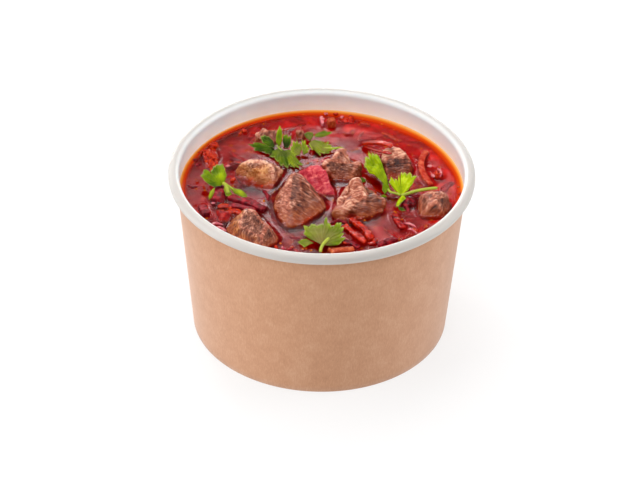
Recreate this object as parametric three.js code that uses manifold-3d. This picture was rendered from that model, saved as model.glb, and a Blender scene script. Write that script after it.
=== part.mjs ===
// Borscht in a waxed paper cup, in millimetres.
// The origin is the middle of the cup's foot, on the table. +Z is up and -Y is the side it is served from.
// Every piece is a solid of its own. What floats stands in the broth, which is cut round it.

import * as THREE from "three";
import { mergeVertices } from "three/addons/utils/BufferGeometryUtils.js";
import { ConvexGeometry } from "three/addons/geometries/ConvexGeometry.js";
import Module from "manifold-3d";

const wasm = await Module();
wasm.setup();

// The cup
const CUP_HEIGHT = 69.9;
const RIM_RADIUS = 59; // outside of the rolled rim
const ROLL_RADIUS = 2.1; // of the roll's own round section
const SHOULDER_RADIUS = 55.9; // outside of the wall, just under the roll
const FOOT_RADIUS = 50.3; // outside of the wall, on the table
const BOARD = 0.6; // thickness of the coated paperboard
const ROLL_END = -90; // degrees round the roll where the edge of the board stops
const HEM_HEIGHT = 6.2; // the wall's folded foot
const HEM_THICKNESS = 1.8; // three layers of board, pressed together
const AROUND = 60; // steps round the cup

// The filling
const BROTH_LEVEL = 61;
const GAP = 0.3; // between a piece and its neighbours
const BOTTOM_UNDERSIDE = HEM_HEIGHT + GAP;
const BELLY_DEPTH = 0.35; // share of a piece's depth down to which it keeps its width
const KEEL_WIDTH = 0.86; // width of its underside as a share of its width in the broth
const ROOM_GAP = 0.4; // added to a cut piece's half sizes, so that its slanted faces keep the gap too

// The parsley
const LEAF_THICKNESS = 0.7;
const STEM_RADIUS = 0.55;

const COLOURS = {
  board: 0xba8c6a,
  lining: 0xe6dfd8,
  broth: 0x9c1a20,
  beef: 0x8f6454,
  beet: 0x8a1230,
  pinkBeet: 0xc8505c,
  tomato: 0xd03a1c,
  pepper: 0xc8200f,
  carrot: 0xe0602a,
  onion: 0xd88a8c,
  parsley: 0x7fa51c,
};

const borscht = new THREE.Group();
const laid = []; // the room that each piece already in the cup takes, with its gap

// Solids

function solidOf(geometry) {
  const bare = geometry.clone();
  bare.deleteAttribute("normal");
  bare.deleteAttribute("uv");
  const welded = mergeVertices(bare, 1e-4);
  const corner = welded.index.array;
  const triVerts = [];
  for (let i = 0; i < corner.length; i += 3) {
    const [a, b, c] = corner.slice(i, i + 3);
    if (a !== b && b !== c && c !== a) triVerts.push(a, b, c);
  }
  const vertProperties = Float32Array.from(welded.attributes.position.array);
  return new wasm.Manifold(
    new wasm.Mesh({ numProp: 3, vertProperties, triVerts: Uint32Array.from(triVerts) }),
  );
}

function geometryOf(solid) {
  const mesh = solid.getMesh();
  const geometry = new THREE.BufferGeometry();
  geometry.setAttribute("position", new THREE.BufferAttribute(mesh.vertProperties, 3));
  geometry.setIndex(new THREE.BufferAttribute(mesh.triVerts, 1));
  geometry.computeVertexNormals();
  return geometry;
}

function addPiece(name, solid, color, roughness) {
  const material = new THREE.MeshStandardMaterial({ color, roughness, metalness: 0 });
  const mesh = new THREE.Mesh(geometryOf(solid), material);
  mesh.name = name;
  borscht.add(mesh);
}

// Lays a piece among those already in the cup: it gives way to them by their gap.
function layPiece(name, solid, room, color, roughness) {
  const fitted = laid.reduce((rest, taken) => rest.subtract(taken), solid);
  addPiece(name, fitted, color, roughness);
  if (room) laid.push(room);
}

// The cup

// Radius of the wall's outer face at a height, less an inset.
function wallRadius(z, inset = 0) {
  const shoulder = CUP_HEIGHT - 2 * ROLL_RADIUS;
  const slope = (SHOULDER_RADIUS - FOOT_RADIUS) / shoulder;
  return FOOT_RADIUS + slope * Math.min(z, shoulder) - inset;
}

function arc(radius, fromDegrees, toDegrees, steps) {
  const points = [];
  for (let i = 0; i <= steps; i += 1) {
    const angle = THREE.MathUtils.degToRad(fromDegrees + ((toDegrees - fromDegrees) * i) / steps);
    points.push(
      new THREE.Vector2(
        RIM_RADIUS - ROLL_RADIUS + radius * Math.cos(angle),
        CUP_HEIGHT - ROLL_RADIUS + radius * Math.sin(angle),
      ),
    );
  }
  return points;
}

// A profile of radius and height, turned about the cup's axis. Its outer side runs upwards.
function turned(profile) {
  const closed = profile[0].x > 0 ? [...profile, profile[0]] : profile;
  const geometry = new THREE.LatheGeometry(closed, AROUND);
  geometry.rotateX(Math.PI / 2);
  return solidOf(geometry);
}

const at = (radius, z) => new THREE.Vector2(radius, z);

// One sheet: folded in at the foot, and rolled outwards at the rim.
function cupWall() {
  const rollFoot = CUP_HEIGHT - 2 * ROLL_RADIUS;
  return turned([
    at(wallRadius(0), 0),
    at(wallRadius(rollFoot), rollFoot),
    ...arc(ROLL_RADIUS - BOARD, 180, ROLL_END, 6),
    ...arc(ROLL_RADIUS, ROLL_END, 180, 9),
    at(RIM_RADIUS - 2 * ROLL_RADIUS, BROTH_LEVEL + 2),
    at(wallRadius(BROTH_LEVEL, BOARD), BROTH_LEVEL),
    at(wallRadius(HEM_HEIGHT, BOARD), HEM_HEIGHT),
    at(wallRadius(HEM_HEIGHT, HEM_THICKNESS), HEM_HEIGHT),
    at(wallRadius(0, HEM_THICKNESS), 0),
  ]);
}

// A disc that rests on the folded foot.
function cupBottom() {
  const radius = wallRadius(BOTTOM_UNDERSIDE, BOARD + GAP);
  return turned([
    at(0, BOTTOM_UNDERSIDE),
    at(radius, BOTTOM_UNDERSIDE),
    at(radius, BOTTOM_UNDERSIDE + BOARD),
    at(0, BOTTOM_UNDERSIDE + BOARD),
  ]);
}

addPiece("cup_wall", cupWall(), COLOURS.board, 0.8);
addPiece("cup_bottom", cupBottom(), COLOURS.lining, 0.7);

// What floats in the broth

// A piece cut with a knife: the hull of its corners.
// waterline: its corners in the plane of the broth. crown: its corners at a height from the broth.
function cube({ waterline, crown, depth }, grow = 0) {
  const middle = waterline
    .reduce((sum, [x, y]) => sum.add(new THREE.Vector3(x, y, 0)), new THREE.Vector3())
    .divideScalar(waterline.length);
  middle.z = -BELLY_DEPTH * depth;
  const corners = crown.map(([x, y, h]) => new THREE.Vector3(x, y, h));
  for (const [x, y] of waterline) {
    const keelX = THREE.MathUtils.lerp(middle.x, x, KEEL_WIDTH);
    const keelY = THREE.MathUtils.lerp(middle.y, y, KEEL_WIDTH);
    corners.push(
      new THREE.Vector3(x, y, 0),
      new THREE.Vector3(x, y, -BELLY_DEPTH * depth),
      new THREE.Vector3(keelX, keelY, -depth),
    );
  }
  const halfSize = new THREE.Box3().setFromPoints(corners).getSize(new THREE.Vector3()).divideScalar(2);
  const swell = new THREE.Vector3(grow, grow, grow).divide(halfSize).addScalar(1);
  for (const corner of corners) {
    corner.sub(middle).multiply(swell).add(middle);
    corner.z += BROTH_LEVEL;
  }
  return solidOf(new ConvexGeometry(corners));
}

function layCube(name, shape, color) {
  layPiece(name, cube(shape), cube(shape, ROOM_GAP), color, 0.5);
}

// A cut strip along a path of [x, y, height from the broth], wide across and thick upwards.
function strip({ path, width, thickness }, grow = 0) {
  const points = path.map(([x, y, h]) => new THREE.Vector3(x, y, BROTH_LEVEL + h));
  if (grow > 0) {
    const last = points.length - 1;
    points[0].add(points[0].clone().sub(points[1]).setLength(grow));
    points[last].add(points[last].clone().sub(points[last - 1]).setLength(grow));
  }
  const halfThick = thickness / 2 + grow;
  const halfWide = width / 2 + grow;
  const section = new THREE.Shape([
    at(-halfThick, -halfWide),
    at(halfThick, -halfWide),
    at(halfThick, halfWide),
    at(-halfThick, halfWide),
  ]);
  const geometry = new THREE.ExtrudeGeometry(section, {
    steps: 2 * points.length,
    bevelEnabled: false,
    extrudePath: new THREE.CatmullRomCurve3(points),
  });
  return facingOut(geometry);
}

// An extruded path can come out inside out: its triangles are then turned over.
function facingOut(geometry) {
  const solid = solidOf(geometry);
  if (solid.volume() > 0) return solid;
  const turnedOver = mergeVertices(geometry.clone().deleteAttribute("normal").deleteAttribute("uv"));
  turnedOver.index.array.reverse();
  return solidOf(turnedOver);
}

function layStrip(name, shape, color) {
  layPiece(name, strip(shape), strip(shape, GAP), color, 0.4);
}

// Boiled beef, cut in cubes of up to 25 mm
const BEEF = {
  beef_centre: {
    waterline: [[-18, -9.5], [-17.5, -15], [-16, -22], [-12.5, -26.5], [-7, -25], [-2, -19.5],
      [1.5, -14], [1, -9.5], [-6, 0.5], [-13, 1.5]],
    crown: [[-11.5, -3.5, 8], [-8, -4.5, 8], [-12.5, -0.5, 5.5], [-7, -1, 5.5]],
    depth: 10,
  },
  beef_front_left: {
    waterline: [[-16, -34], [-16.5, -37], [-22, -43], [-33, -36], [-35.5, -30], [-33.5, -23],
      [-29, -19], [-24, -20]],
    crown: [[-28.5, -26.5, 7], [-25, -27.5, 7.5], [-20, -34.5, 5.5], [-31, -33, 4.5],
      [-22, -39, 3.5]],
    depth: 10,
  },
  beef_centre_right: {
    waterline: [[5, -18], [6.5, -21.5], [15, -21], [19.5, -18.5], [23, -15.5], [18, -3], [9, -2]],
    crown: [[12, -6, 6.5], [14.5, -6.5, 6], [17.5, -11.5, 6], [21, -11, 4.5], [23, -13, 1.5],
      [7.5, -10.5, 4], [5.5, -16.5, 1.5]],
    depth: 10,
  },
  beef_back_centre: {
    waterline: [[3, 8], [5.5, 5], [11.5, 5], [15, 8.5], [12, 17], [3, 18]],
    crown: [[7, 16.5, 5.5], [2, 10, 5.5], [0.5, 8.5, 4], [13, 10.5, 4.5], [15.5, 11.5, 1.5]],
    depth: 9,
  },
  beef_right_back: {
    waterline: [[35.5, 13.5], [34, 10], [29.5, 5.5], [25.5, 6], [25, 22], [33, 22]],
    crown: [[23.5, 18, 5.5], [29, 19.5, 6], [32.5, 16.5, 5.5], [34.5, 14.5, 3.5], [23, 15.5, 1.5]],
    depth: 9,
  },
  beef_right_front: {
    waterline: [[37, -14.5], [38, -18], [42.5, -18.5], [46.5, -18], [48.5, -15], [49.5, -10],
      [46, -7], [39, -7]],
    crown: [[37.5, -11.5, 3.5], [42, -10, 5.5], [45, -9.5, 5.5], [48, -9.5, 4.5], [44, -15.5, 5.5],
      [38.5, -19, -3], [46, -19, -3]],
    depth: 9,
  },
  beef_left: {
    waterline: [[-33.5, 8.5], [-28, 6], [-23, 4], [-18.5, 0.5], [-16.5, 6.5], [-18, 11], [-31, 12]],
    crown: [[-32, 10, 3.5], [-25, 9.5, 5], [-19.5, 8.5, 5], [-15, 9.5, 1.5], [-31, 3.5, -3],
      [-20.5, -2.5, -3]],
    depth: 8,
  },
  beef_back_left: {
    waterline: [[-27, 31.5], [-23, 28.5], [-18, 31], [-19, 37.5], [-25, 37]],
    crown: [[-26, 32.5, 3.5], [-21.5, 33, 4], [-19, 35, 4], [-17.5, 34.5, 3]],
    depth: 7,
  },
  beef_back_bit: {
    waterline: [[-10.5, 33.5], [-7.5, 33.5], [-7.2, 37], [-10, 37]],
    crown: [[-10.5, 35, 3], [-7.5, 35.5, 3]],
    depth: 3.5,
  },
};

// Vegetables cut as cubes and slabs
const CUBES = {
  beet_wedge: {
    waterline: [[5.5, -5.5], [0, -5], [-3.5, -2.5], [-7, 4.5], [-7, 11], [1, 9]],
    crown: [[-6, 7, 5], [-1, 8, 5.5], [1.5, 2.5, 6], [4.5, -4, 2], [-9, 8, 1.5]],
    depth: 7,
    color: COLOURS.pinkBeet,
  },
  tomato_left: {
    waterline: [[-48, 24], [-42, 26], [-40.5, 19], [-42, 9], [-45, 13]],
    crown: [[-45.5, 22.5, 2], [-43, 18, 2.4], [-43, 12, 1.4]],
    depth: 4,
    color: COLOURS.tomato,
  },
  beet_slab_left: {
    waterline: [[-42, -1.5], [-37, -1], [-36.5, -12.5], [-42.5, -11.5]],
    crown: [[-41, -3, 2.2], [-37.5, -3, 2.4], [-37.5, -11, 2], [-41.5, -10.5, 1.8]],
    depth: 5,
    color: COLOURS.beet,
  },
  pepper_left: {
    waterline: [[-40.5, -17], [-34.5, -17.5], [-34, -23], [-38.5, -25]],
    crown: [[-39, -18.5, 1.3], [-35.5, -19, 1.6], [-37, -23, 1.2]],
    depth: 3.5,
    color: COLOURS.pepper,
  },
  beet_cube_right: {
    waterline: [[30.5, -7], [35.5, -5.5], [36.5, -11], [31.5, -13]],
    crown: [[32, -8, 1.7], [35, -8, 1.7], [34.5, -10.5, 1.4]],
    depth: 5,
    color: COLOURS.beet,
  },
  tomato_right: {
    waterline: [[43.5, 7.5], [47, 8], [47, 12], [43.5, 12.5]],
    crown: [[44.5, 9, 1.2], [46.3, 9.5, 1.2], [45.2, 11.5, 1]],
    depth: 3.5,
    color: COLOURS.tomato,
  },
  tomato_back: {
    waterline: [[5.8, 48], [7, 51.5], [12.5, 50.5], [13, 47], [8.5, 46]],
    crown: [[8, 49.5, 1], [11.5, 49, 0.8]],
    depth: 3.5,
    color: COLOURS.tomato,
  },
};

// Vegetables cut as strips
const STRIPS = {
  beet_strip_left_a: {
    path: [[-35.5, -8.6, 0.2], [-30, -11.5, 0.6], [-21.5, -16.8, 0.2]],
    width: 3,
    thickness: 2.4,
    color: COLOURS.beet,
  },
  beet_strip_left_b: {
    path: [[-35.5, -14, 0.1], [-30.5, -15.6, 0.6], [-25, -17.6, 0.2]],
    width: 2.6,
    thickness: 2.2,
    color: COLOURS.beet,
  },
  beet_end_left: {
    path: [[-43.4, -21.2, 0.2], [-44.6, -18, 0], [-45.6, -14.5, -0.6]],
    width: 3.5,
    thickness: 3.3,
    color: COLOURS.beet,
  },
  pepper_front_a: {
    path: [[11.5, -22.8, 0.6], [15.8, -29, 1.1], [19.3, -35.6, 0.6]],
    width: 2.9,
    thickness: 2.4,
    color: COLOURS.pepper,
  },
  pepper_front_b: {
    path: [[8.4, -26.6, 0.3], [12.4, -32, 0.9], [17, -37.2, 0.5]],
    width: 2.8,
    thickness: 2.2,
    color: COLOURS.pepper,
  },
  pepper_back: {
    path: [[16, 29.5, 1], [20.3, 25.6, 4], [24.2, 19.6, 7.6], [27.4, 17, 8]],
    width: 2.4,
    thickness: 1.3,
    color: COLOURS.pepper,
  },
  pepper_right: {
    path: [[28, -18.6, 0.1], [29, -23, 0.4], [31, -27.5, 0.1]],
    width: 2.8,
    thickness: 1.8,
    color: COLOURS.pepper,
  },
  carrot_curl: {
    path: [[41, 26, -0.4], [38.8, 18.5, 0], [39.3, 10, 0.1], [42.3, 2.5, -0.4]],
    width: 2.7,
    thickness: 2,
    color: COLOURS.carrot,
  },
  carrot_front: {
    path: [[3.5, -43.5, 0.2], [8, -42.6, 0.6], [12.5, -41.6, 0.2]],
    width: 2.8,
    thickness: 2,
    color: COLOURS.carrot,
  },
  carrot_back: {
    path: [[3.4, 46.4, 0.2], [3.5, 44.4, 0.6], [3.6, 42.4, 0.8]],
    width: 4.2,
    thickness: 3.4,
    color: COLOURS.carrot,
  },
  beet_front: {
    path: [[7.4, -35.4, 0.1], [10.8, -37.4, 0.4], [14.4, -40, 0.1]],
    width: 2.1,
    thickness: 1.6,
    color: COLOURS.pinkBeet,
  },
  beet_rim: {
    path: [[21, -38.4, 0.1], [24.6, -36.4, 0.5], [28.4, -34, 0.1]],
    width: 2.4,
    thickness: 1.8,
    color: COLOURS.beet,
  },
  onion_back: {
    path: [[-0.6, 49, 0.1], [-0.4, 46, 0.4], [0.2, 42.8, 0.5]],
    width: 2.3,
    thickness: 1.4,
    color: COLOURS.onion,
  },
};

for (const [name, shape] of Object.entries(BEEF)) layCube(name, shape, COLOURS.beef);
for (const [name, shape] of Object.entries(CUBES)) layCube(name, shape, shape.color);
for (const [name, shape] of Object.entries(STRIPS)) layStrip(name, shape, shape.color);

// The broth fills the cup to its level, round all that floats in it.
function broth() {
  const bottom = BOTTOM_UNDERSIDE + BOARD + GAP;
  const liquid = turned([
    at(0, bottom),
    at(wallRadius(bottom, BOARD + GAP), bottom),
    at(wallRadius(BROTH_LEVEL, BOARD + GAP), BROTH_LEVEL),
    at(0, BROTH_LEVEL),
  ]);
  return laid.reduce((rest, taken) => rest.subtract(taken), liquid);
}

addPiece("broth", broth(), COLOURS.broth, 0.1);

// Parsley sprigs: fan-shaped leaves on thin stems, resting on the broth and the beef

// The outline of a leaf that opens from its base to a row of teeth.
function leafOutline(length, spread, teeth) {
  const points = [at(0, 0)];
  const steps = 2 * teeth;
  for (let i = 0; i <= steps; i += 1) {
    const angle = THREE.MathUtils.degToRad(spread * (i / steps - 0.5));
    const isTip = i % 2 === 1;
    const edge = 1 - 0.35 * Math.abs(2 * (i / steps) - 1) ** 2;
    const reach = length * edge * (isTip ? 1 : 0.8);
    points.push(at(reach * Math.sin(angle), reach * Math.cos(angle)));
  }
  return new THREE.Shape(points);
}

// A leaf from its base to its tip, both [x, y, height from the broth], its face turned to look.
function leaf({ base, tip, spread = 70, teeth = 4, look = [0, -0.5, 1] }) {
  const from = new THREE.Vector3(base[0], base[1], BROTH_LEVEL + base[2]);
  const along = new THREE.Vector3(tip[0], tip[1], BROTH_LEVEL + tip[2]).sub(from);
  const length = along.length();
  along.normalize();
  const across = new THREE.Vector3().crossVectors(along, new THREE.Vector3(...look)).normalize();
  const face = new THREE.Vector3().crossVectors(across, along);
  const geometry = new THREE.ExtrudeGeometry(leafOutline(length, spread, teeth), {
    depth: LEAF_THICKNESS,
    bevelEnabled: false,
  });
  geometry.translate(0, 0, -LEAF_THICKNESS / 2);
  geometry.applyMatrix4(new THREE.Matrix4().makeBasis(across, along, face).setPosition(from));
  return solidOf(geometry);
}

function stem(path) {
  const points = path.map(([x, y, h]) => new THREE.Vector3(x, y, BROTH_LEVEL + h));
  const section = new THREE.Shape();
  section.absarc(0, 0, STEM_RADIUS, 0, 2 * Math.PI);
  const geometry = new THREE.ExtrudeGeometry(section, {
    steps: points.length,
    curveSegments: 5,
    bevelEnabled: false,
    extrudePath: new THREE.CatmullRomCurve3(points),
  });
  return facingOut(geometry);
}

const SPRIGS = {
  parsley_right: {
    stems: [[[44.6, -8, 7], [36, -6.7, 4.2], [28.8, -5.6, 2], [25.2, -3, 1.8]]],
    leaves: [
      { base: [25.4, -4, 1.6], tip: [19.2, 13, 6.6], spread: 46, teeth: 3 },
      { base: [29.2, -6.4, 1.8], tip: [31.4, 0.6, 6], spread: 96, teeth: 4 },
      { base: [29, -5.2, 1.9], tip: [29.6, -14.2, 1.4], spread: 30, teeth: 2 },
    ],
  },
  parsley_front: {
    stems: [[[-0.2, -44, 1.4], [1.4, -40.5, 1.6], [2.6, -34.5, 1.6]]],
    leaves: [
      { base: [2.6, -35.9, 1.6], tip: [-4.6, -28.6, 1.6], spread: 66, teeth: 2 },
      { base: [2.6, -35.5, 1.6], tip: [3, -25.4, 2.6], spread: 70, teeth: 3 },
      { base: [2.2, -36.6, 1.6], tip: [8.4, -33.6, 1.7], spread: 90, teeth: 3 },
      { base: [2.4, -35.2, 1.6], tip: [-8, -36, 1.1], spread: 34, teeth: 1 },
    ],
  },
  parsley_left: {
    stems: [[[-38.8, -3, 3.2], [-36.8, -4.6, 3.1], [-35, -7.8, 2.2]]],
    leaves: [
      { base: [-38.3, -4, 3.2], tip: [-46, 2.4, 5], spread: 44, teeth: 1 },
      { base: [-38.3, -3.8, 3.2], tip: [-39.4, 5.4, 6.4], spread: 52, teeth: 2 },
      { base: [-37, -4.8, 3], tip: [-28.4, -9.2, 2.4], spread: 34, teeth: 1 },
      { base: [-38.2, -3.4, 3.2], tip: [-43.6, -10, 1.9], spread: 26, teeth: 1 },
    ],
  },
  parsley_back: {
    stems: [[[-22, 24.6, 1.2], [-14, 25.4, 1.5], [-4, 26.6, 1.6], [3, 25, 1.6], [9, 23.6, 1.4]]],
    leaves: [
      { base: [-18.6, 24.8, 1.4], tip: [-29, 26.4, 1.6], spread: 56, teeth: 2 },
      { base: [-16.6, 25, 1.5], tip: [-16.8, 29.4, 7], spread: 40, teeth: 1 },
      { base: [-15.4, 25.2, 1.5], tip: [-15.4, 14.8, 1.1], spread: 66, teeth: 3 },
      { base: [-10, 25.4, 1.6], tip: [-7.4, 29.6, 3.4], spread: 90, teeth: 2 },
      { base: [-3, 26, 1.6], tip: [0.4, 34, 2.6], spread: 90, teeth: 3 },
      { base: [-2, 27, 1.6], tip: [0, 20.2, 1.4], spread: 100, teeth: 3 },
    ],
  },
};

for (const [name, { stems, leaves }] of Object.entries(SPRIGS)) {
  const pieces = [...stems.map(stem), ...leaves.map(leaf)];
  const sprig = pieces.reduce((whole, piece) => whole.add(piece));
  layPiece(name, sprig, null, COLOURS.parsley, 0.6);
}

export default borscht;
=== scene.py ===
"""Borscht in a wide paper cup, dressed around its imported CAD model.

Every piece is in metres in the cup's own frame: the origin is the middle of its foot, +Z is up.
"""

import math
import random

import bmesh
import bpy
from mathutils import Matrix, Vector, noise
from mathutils.bvhtree import BVHTree


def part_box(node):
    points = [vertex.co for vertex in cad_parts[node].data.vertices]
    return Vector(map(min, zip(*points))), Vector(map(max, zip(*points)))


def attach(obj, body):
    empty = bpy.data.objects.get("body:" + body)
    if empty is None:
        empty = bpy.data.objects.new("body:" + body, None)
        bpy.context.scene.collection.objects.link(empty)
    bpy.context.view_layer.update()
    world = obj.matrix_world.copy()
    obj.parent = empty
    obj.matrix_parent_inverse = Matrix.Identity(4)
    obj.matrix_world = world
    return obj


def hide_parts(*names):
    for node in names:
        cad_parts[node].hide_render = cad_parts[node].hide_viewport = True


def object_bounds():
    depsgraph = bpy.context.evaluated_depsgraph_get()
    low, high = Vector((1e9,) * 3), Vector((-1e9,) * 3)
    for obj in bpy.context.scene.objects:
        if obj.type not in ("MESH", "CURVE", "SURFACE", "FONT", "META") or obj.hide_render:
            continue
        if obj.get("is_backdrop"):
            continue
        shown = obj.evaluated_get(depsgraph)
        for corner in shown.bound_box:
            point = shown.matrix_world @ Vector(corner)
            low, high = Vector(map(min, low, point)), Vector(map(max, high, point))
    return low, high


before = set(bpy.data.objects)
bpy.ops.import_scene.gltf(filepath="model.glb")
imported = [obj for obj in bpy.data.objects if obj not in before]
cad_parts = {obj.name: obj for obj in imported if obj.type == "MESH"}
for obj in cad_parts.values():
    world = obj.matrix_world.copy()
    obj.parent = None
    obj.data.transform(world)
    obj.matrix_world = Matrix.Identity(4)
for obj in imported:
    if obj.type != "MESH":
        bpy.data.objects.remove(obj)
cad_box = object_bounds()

# ----------------------------------------
# The cup's wall: one sheet of paperboard, brown outside and coated white inside. It is rolled
# outwards at the rim, so that the white side shows there, and folded in at the foot.

MM = 0.001
CUP_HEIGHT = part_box("cup_wall")[1].z / MM
RIM_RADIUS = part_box("cup_wall")[1].x / MM
ROLL_RADIUS = 2.1
ROLL_END = -130  # degrees round the roll, where the sheet's edge is tucked in
ROLL_STEPS = (22, 34)
SHOULDER_RADIUS = 55.9
SHOULDER_HEIGHT = CUP_HEIGHT - 2 * ROLL_RADIUS
FOOT_RADIUS = 50.3
BOARD = 0.6
FOLD = 0.25
HEM_HEIGHT = 6.2
HEM_THICKNESS = 1.8
BROTH_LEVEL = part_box("broth")[1].z / MM
WALL_TOP_INSIDE = BROTH_LEVEL + 2
OUTSIDE_RINGS = (3, HEM_HEIGHT, 14, 24, 34, 44, 54, 61)
INSIDE_RINGS = (BROTH_LEVEL, 50, 30, HEM_HEIGHT)
SPIN_STEPS = 360
SEAM_ANGLES = (math.radians(112), math.radians(121))
SEAM_STEP = 0.35
HAIR = 0.1  # closer than this in mm counts as touching

BROWN_BOARD = "#C08B66"
BROWN_BOARD_DARK = "#B47F5A"
BROWN_BOARD_LIGHT = "#CA9A78"
INSIDE_WHITE = "#F2F4F2"
# Painted shade: the white of the roll, greyer than that of the inside, from the radii below.
ROLL_PAINTED_SHADE = "#C2BDB8"
ROLL_START = (55.3, 56.6)


def linear(hex_colour):
    """An sRGB hex colour as linear RGBA."""
    channels = [int(hex_colour[i : i + 2], 16) / 255 for i in (1, 3, 5)]
    return [c / 12.92 if c <= 0.04045 else ((c + 0.055) / 1.055) ** 2.4 for c in channels] + [1.0]


def add_node(tree, kind, inputs=None, stops=(), **settings):
    """Adds a shader node with its settings. An input is a value, a hex colour, a socket, or a
    node whose first output it is linked from. Stops are the places and colours of a ramp."""
    node = tree.nodes.new("ShaderNode" + kind)
    for name, value in settings.items():
        setattr(node, name, value)
    for name, value in (inputs or {}).items():
        if isinstance(value, bpy.types.Node):
            value = value.outputs[0]
        if isinstance(value, bpy.types.NodeSocket):
            tree.links.new(value, node.inputs[name])
        else:
            node.inputs[name].default_value = linear(value) if isinstance(value, str) else value
    for i, (place, colour) in enumerate(stops):
        ramp = node.color_ramp.elements
        stop = ramp[i] if i < 2 else ramp.new(place)
        stop.position = place
        stop.color = linear(colour)
    return node


def new_material(name):
    """An empty material and its node tree."""
    material = bpy.data.materials.new(name)
    material.use_nodes = True
    material.node_tree.nodes.clear()
    return material, material.node_tree


def grain(tree, size, stretch=(1, 1, 1), **inputs):
    """Noise over the piece's own coordinates with features of a size in mm, longer along an axis
    that is stretched."""
    place = add_node(tree, "TexCoord").outputs["Object"]
    scale = [1 / (size * MM * s) for s in stretch]
    mapped = add_node(tree, "Mapping", {"Vector": place, "Scale": scale})
    return add_node(tree, "TexNoise", {"Vector": mapped, "Scale": 1.0, **inputs})


def brown_board():
    """Uncoated brown paperboard, calendered: matte, with a faint cloudiness and short fibres."""
    material, tree = new_material("brown_paperboard_uncoated")
    clouds = grain(tree, 6, Detail=4.0, Roughness=0.6)
    fibres = grain(tree, 0.5, stretch=(1, 1, 3.5), Detail=3.0, Roughness=0.7)
    mixed = add_node(tree, "Mix", {"Factor": 0.6, "A": clouds, "B": fibres}, data_type="FLOAT")
    browns = [(0.32, BROWN_BOARD_DARK), (0.68, BROWN_BOARD_LIGHT), (0.5, BROWN_BOARD)]
    colour = add_node(tree, "ValToRGB", {"Fac": mixed}, browns)
    bump = add_node(tree, "Bump", {"Height": fibres, "Strength": 0.12, "Distance": 0.05 * MM})
    surface = add_node(tree, "BsdfPrincipled", {
        "Base Color": colour, "Normal": bump, "Roughness": 0.72, "IOR": 1.45,
        "Sheen Weight": 0.35, "Sheen Roughness": 0.5,
    })
    add_node(tree, "OutputMaterial", {"Surface": surface})
    return material


def coated_board():
    """White board under a thin clear coating: satin, with the board's fibres just felt. Its white is
    painted a little greyer on the roll, as painted shade."""
    material, tree = new_material("white_board_coated")
    fibres = grain(tree, 0.8, stretch=(1, 1, 3), Detail=3.0)
    place = add_node(tree, "TexCoord").outputs["Object"]
    flat = add_node(tree, "VectorMath", {0: place, 1: (1.0, 1.0, 0.0)}, operation="MULTIPLY")
    radius = add_node(tree, "VectorMath", {0: flat}, operation="LENGTH").outputs["Value"]
    on_roll = add_node(tree, "MapRange", {
        "Value": radius, "From Min": ROLL_START[0] * MM, "From Max": ROLL_START[1] * MM,
    })
    clouds = grain(tree, 9, Detail=2.0)
    cloudy = add_node(tree, "Math", {0: clouds, 1: 0.25, 2: on_roll}, operation="MULTIPLY_ADD")
    colour = add_node(tree, "ValToRGB", {"Fac": cloudy}, [(0.1, INSIDE_WHITE), (1.0, ROLL_PAINTED_SHADE)])
    bump = add_node(tree, "Bump", {"Height": fibres, "Strength": 0.1, "Distance": 0.05 * MM})
    surface = add_node(tree, "BsdfPrincipled", {
        "Base Color": colour, "Normal": bump, "Roughness": 0.42, "IOR": 1.48,
        "Subsurface Weight": 0.6, "Subsurface Radius": (1.0, 0.85, 0.75),
        "Subsurface Scale": 1.4 * MM,
    })
    add_node(tree, "OutputMaterial", {"Surface": surface})
    return material


def wall_radius(z, inset=0.0):
    """Radius of the wall's outer face at a height, less an inset, in mm."""
    slope = (SHOULDER_RADIUS - FOOT_RADIUS) / SHOULDER_HEIGHT
    return FOOT_RADIUS + slope * min(z, SHOULDER_HEIGHT) - inset


def roll_arc(radius, from_degrees, to_degrees, steps):
    """Points of (radius, height) round the middle of the rim's roll."""
    points = []
    for i in range(steps + 1):
        angle = math.radians(from_degrees + (to_degrees - from_degrees) * i / steps)
        outwards = RIM_RADIUS - ROLL_RADIUS + radius * math.cos(angle)
        points.append((outwards, CUP_HEIGHT - ROLL_RADIUS + radius * math.sin(angle)))
    return points


def spun(profile, closed=True):
    """A bmesh of an outline of (radius, height) in mm, spun about the cup's axis."""
    bm = bmesh.new()
    ring = [bm.verts.new((r * MM, 0, z * MM)) for r, z in profile]
    pairs = zip(ring, ring[1:] + ring[:1]) if closed else zip(ring, ring[1:])
    edges = [bm.edges.new(pair) for pair in pairs]
    bmesh.ops.spin(
        bm, geom=ring + edges, axis=(0, 0, 1), cent=(0, 0, 0), angle=math.tau, steps=SPIN_STEPS,
        use_merge=True,
    )
    bmesh.ops.remove_doubles(bm, verts=bm.verts, dist=0.001 * MM)
    bmesh.ops.recalc_face_normals(bm, faces=bm.faces)
    return bm


def new_piece(name, bm, materials, replaced=()):
    """Makes a bmesh a piece of the cup: it rides on its one body and stands for CAD nodes."""
    mesh = bpy.data.meshes.new(name)
    bm.to_mesh(mesh)
    bm.free()
    mesh.polygons.foreach_set("use_smooth", [True] * len(mesh.polygons))
    piece = bpy.data.objects.new(name, mesh)
    bpy.context.scene.collection.objects.link(piece)
    for material in materials:
        mesh.materials.append(material)
    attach(piece, "root")
    if replaced:
        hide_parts(*replaced)


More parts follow.
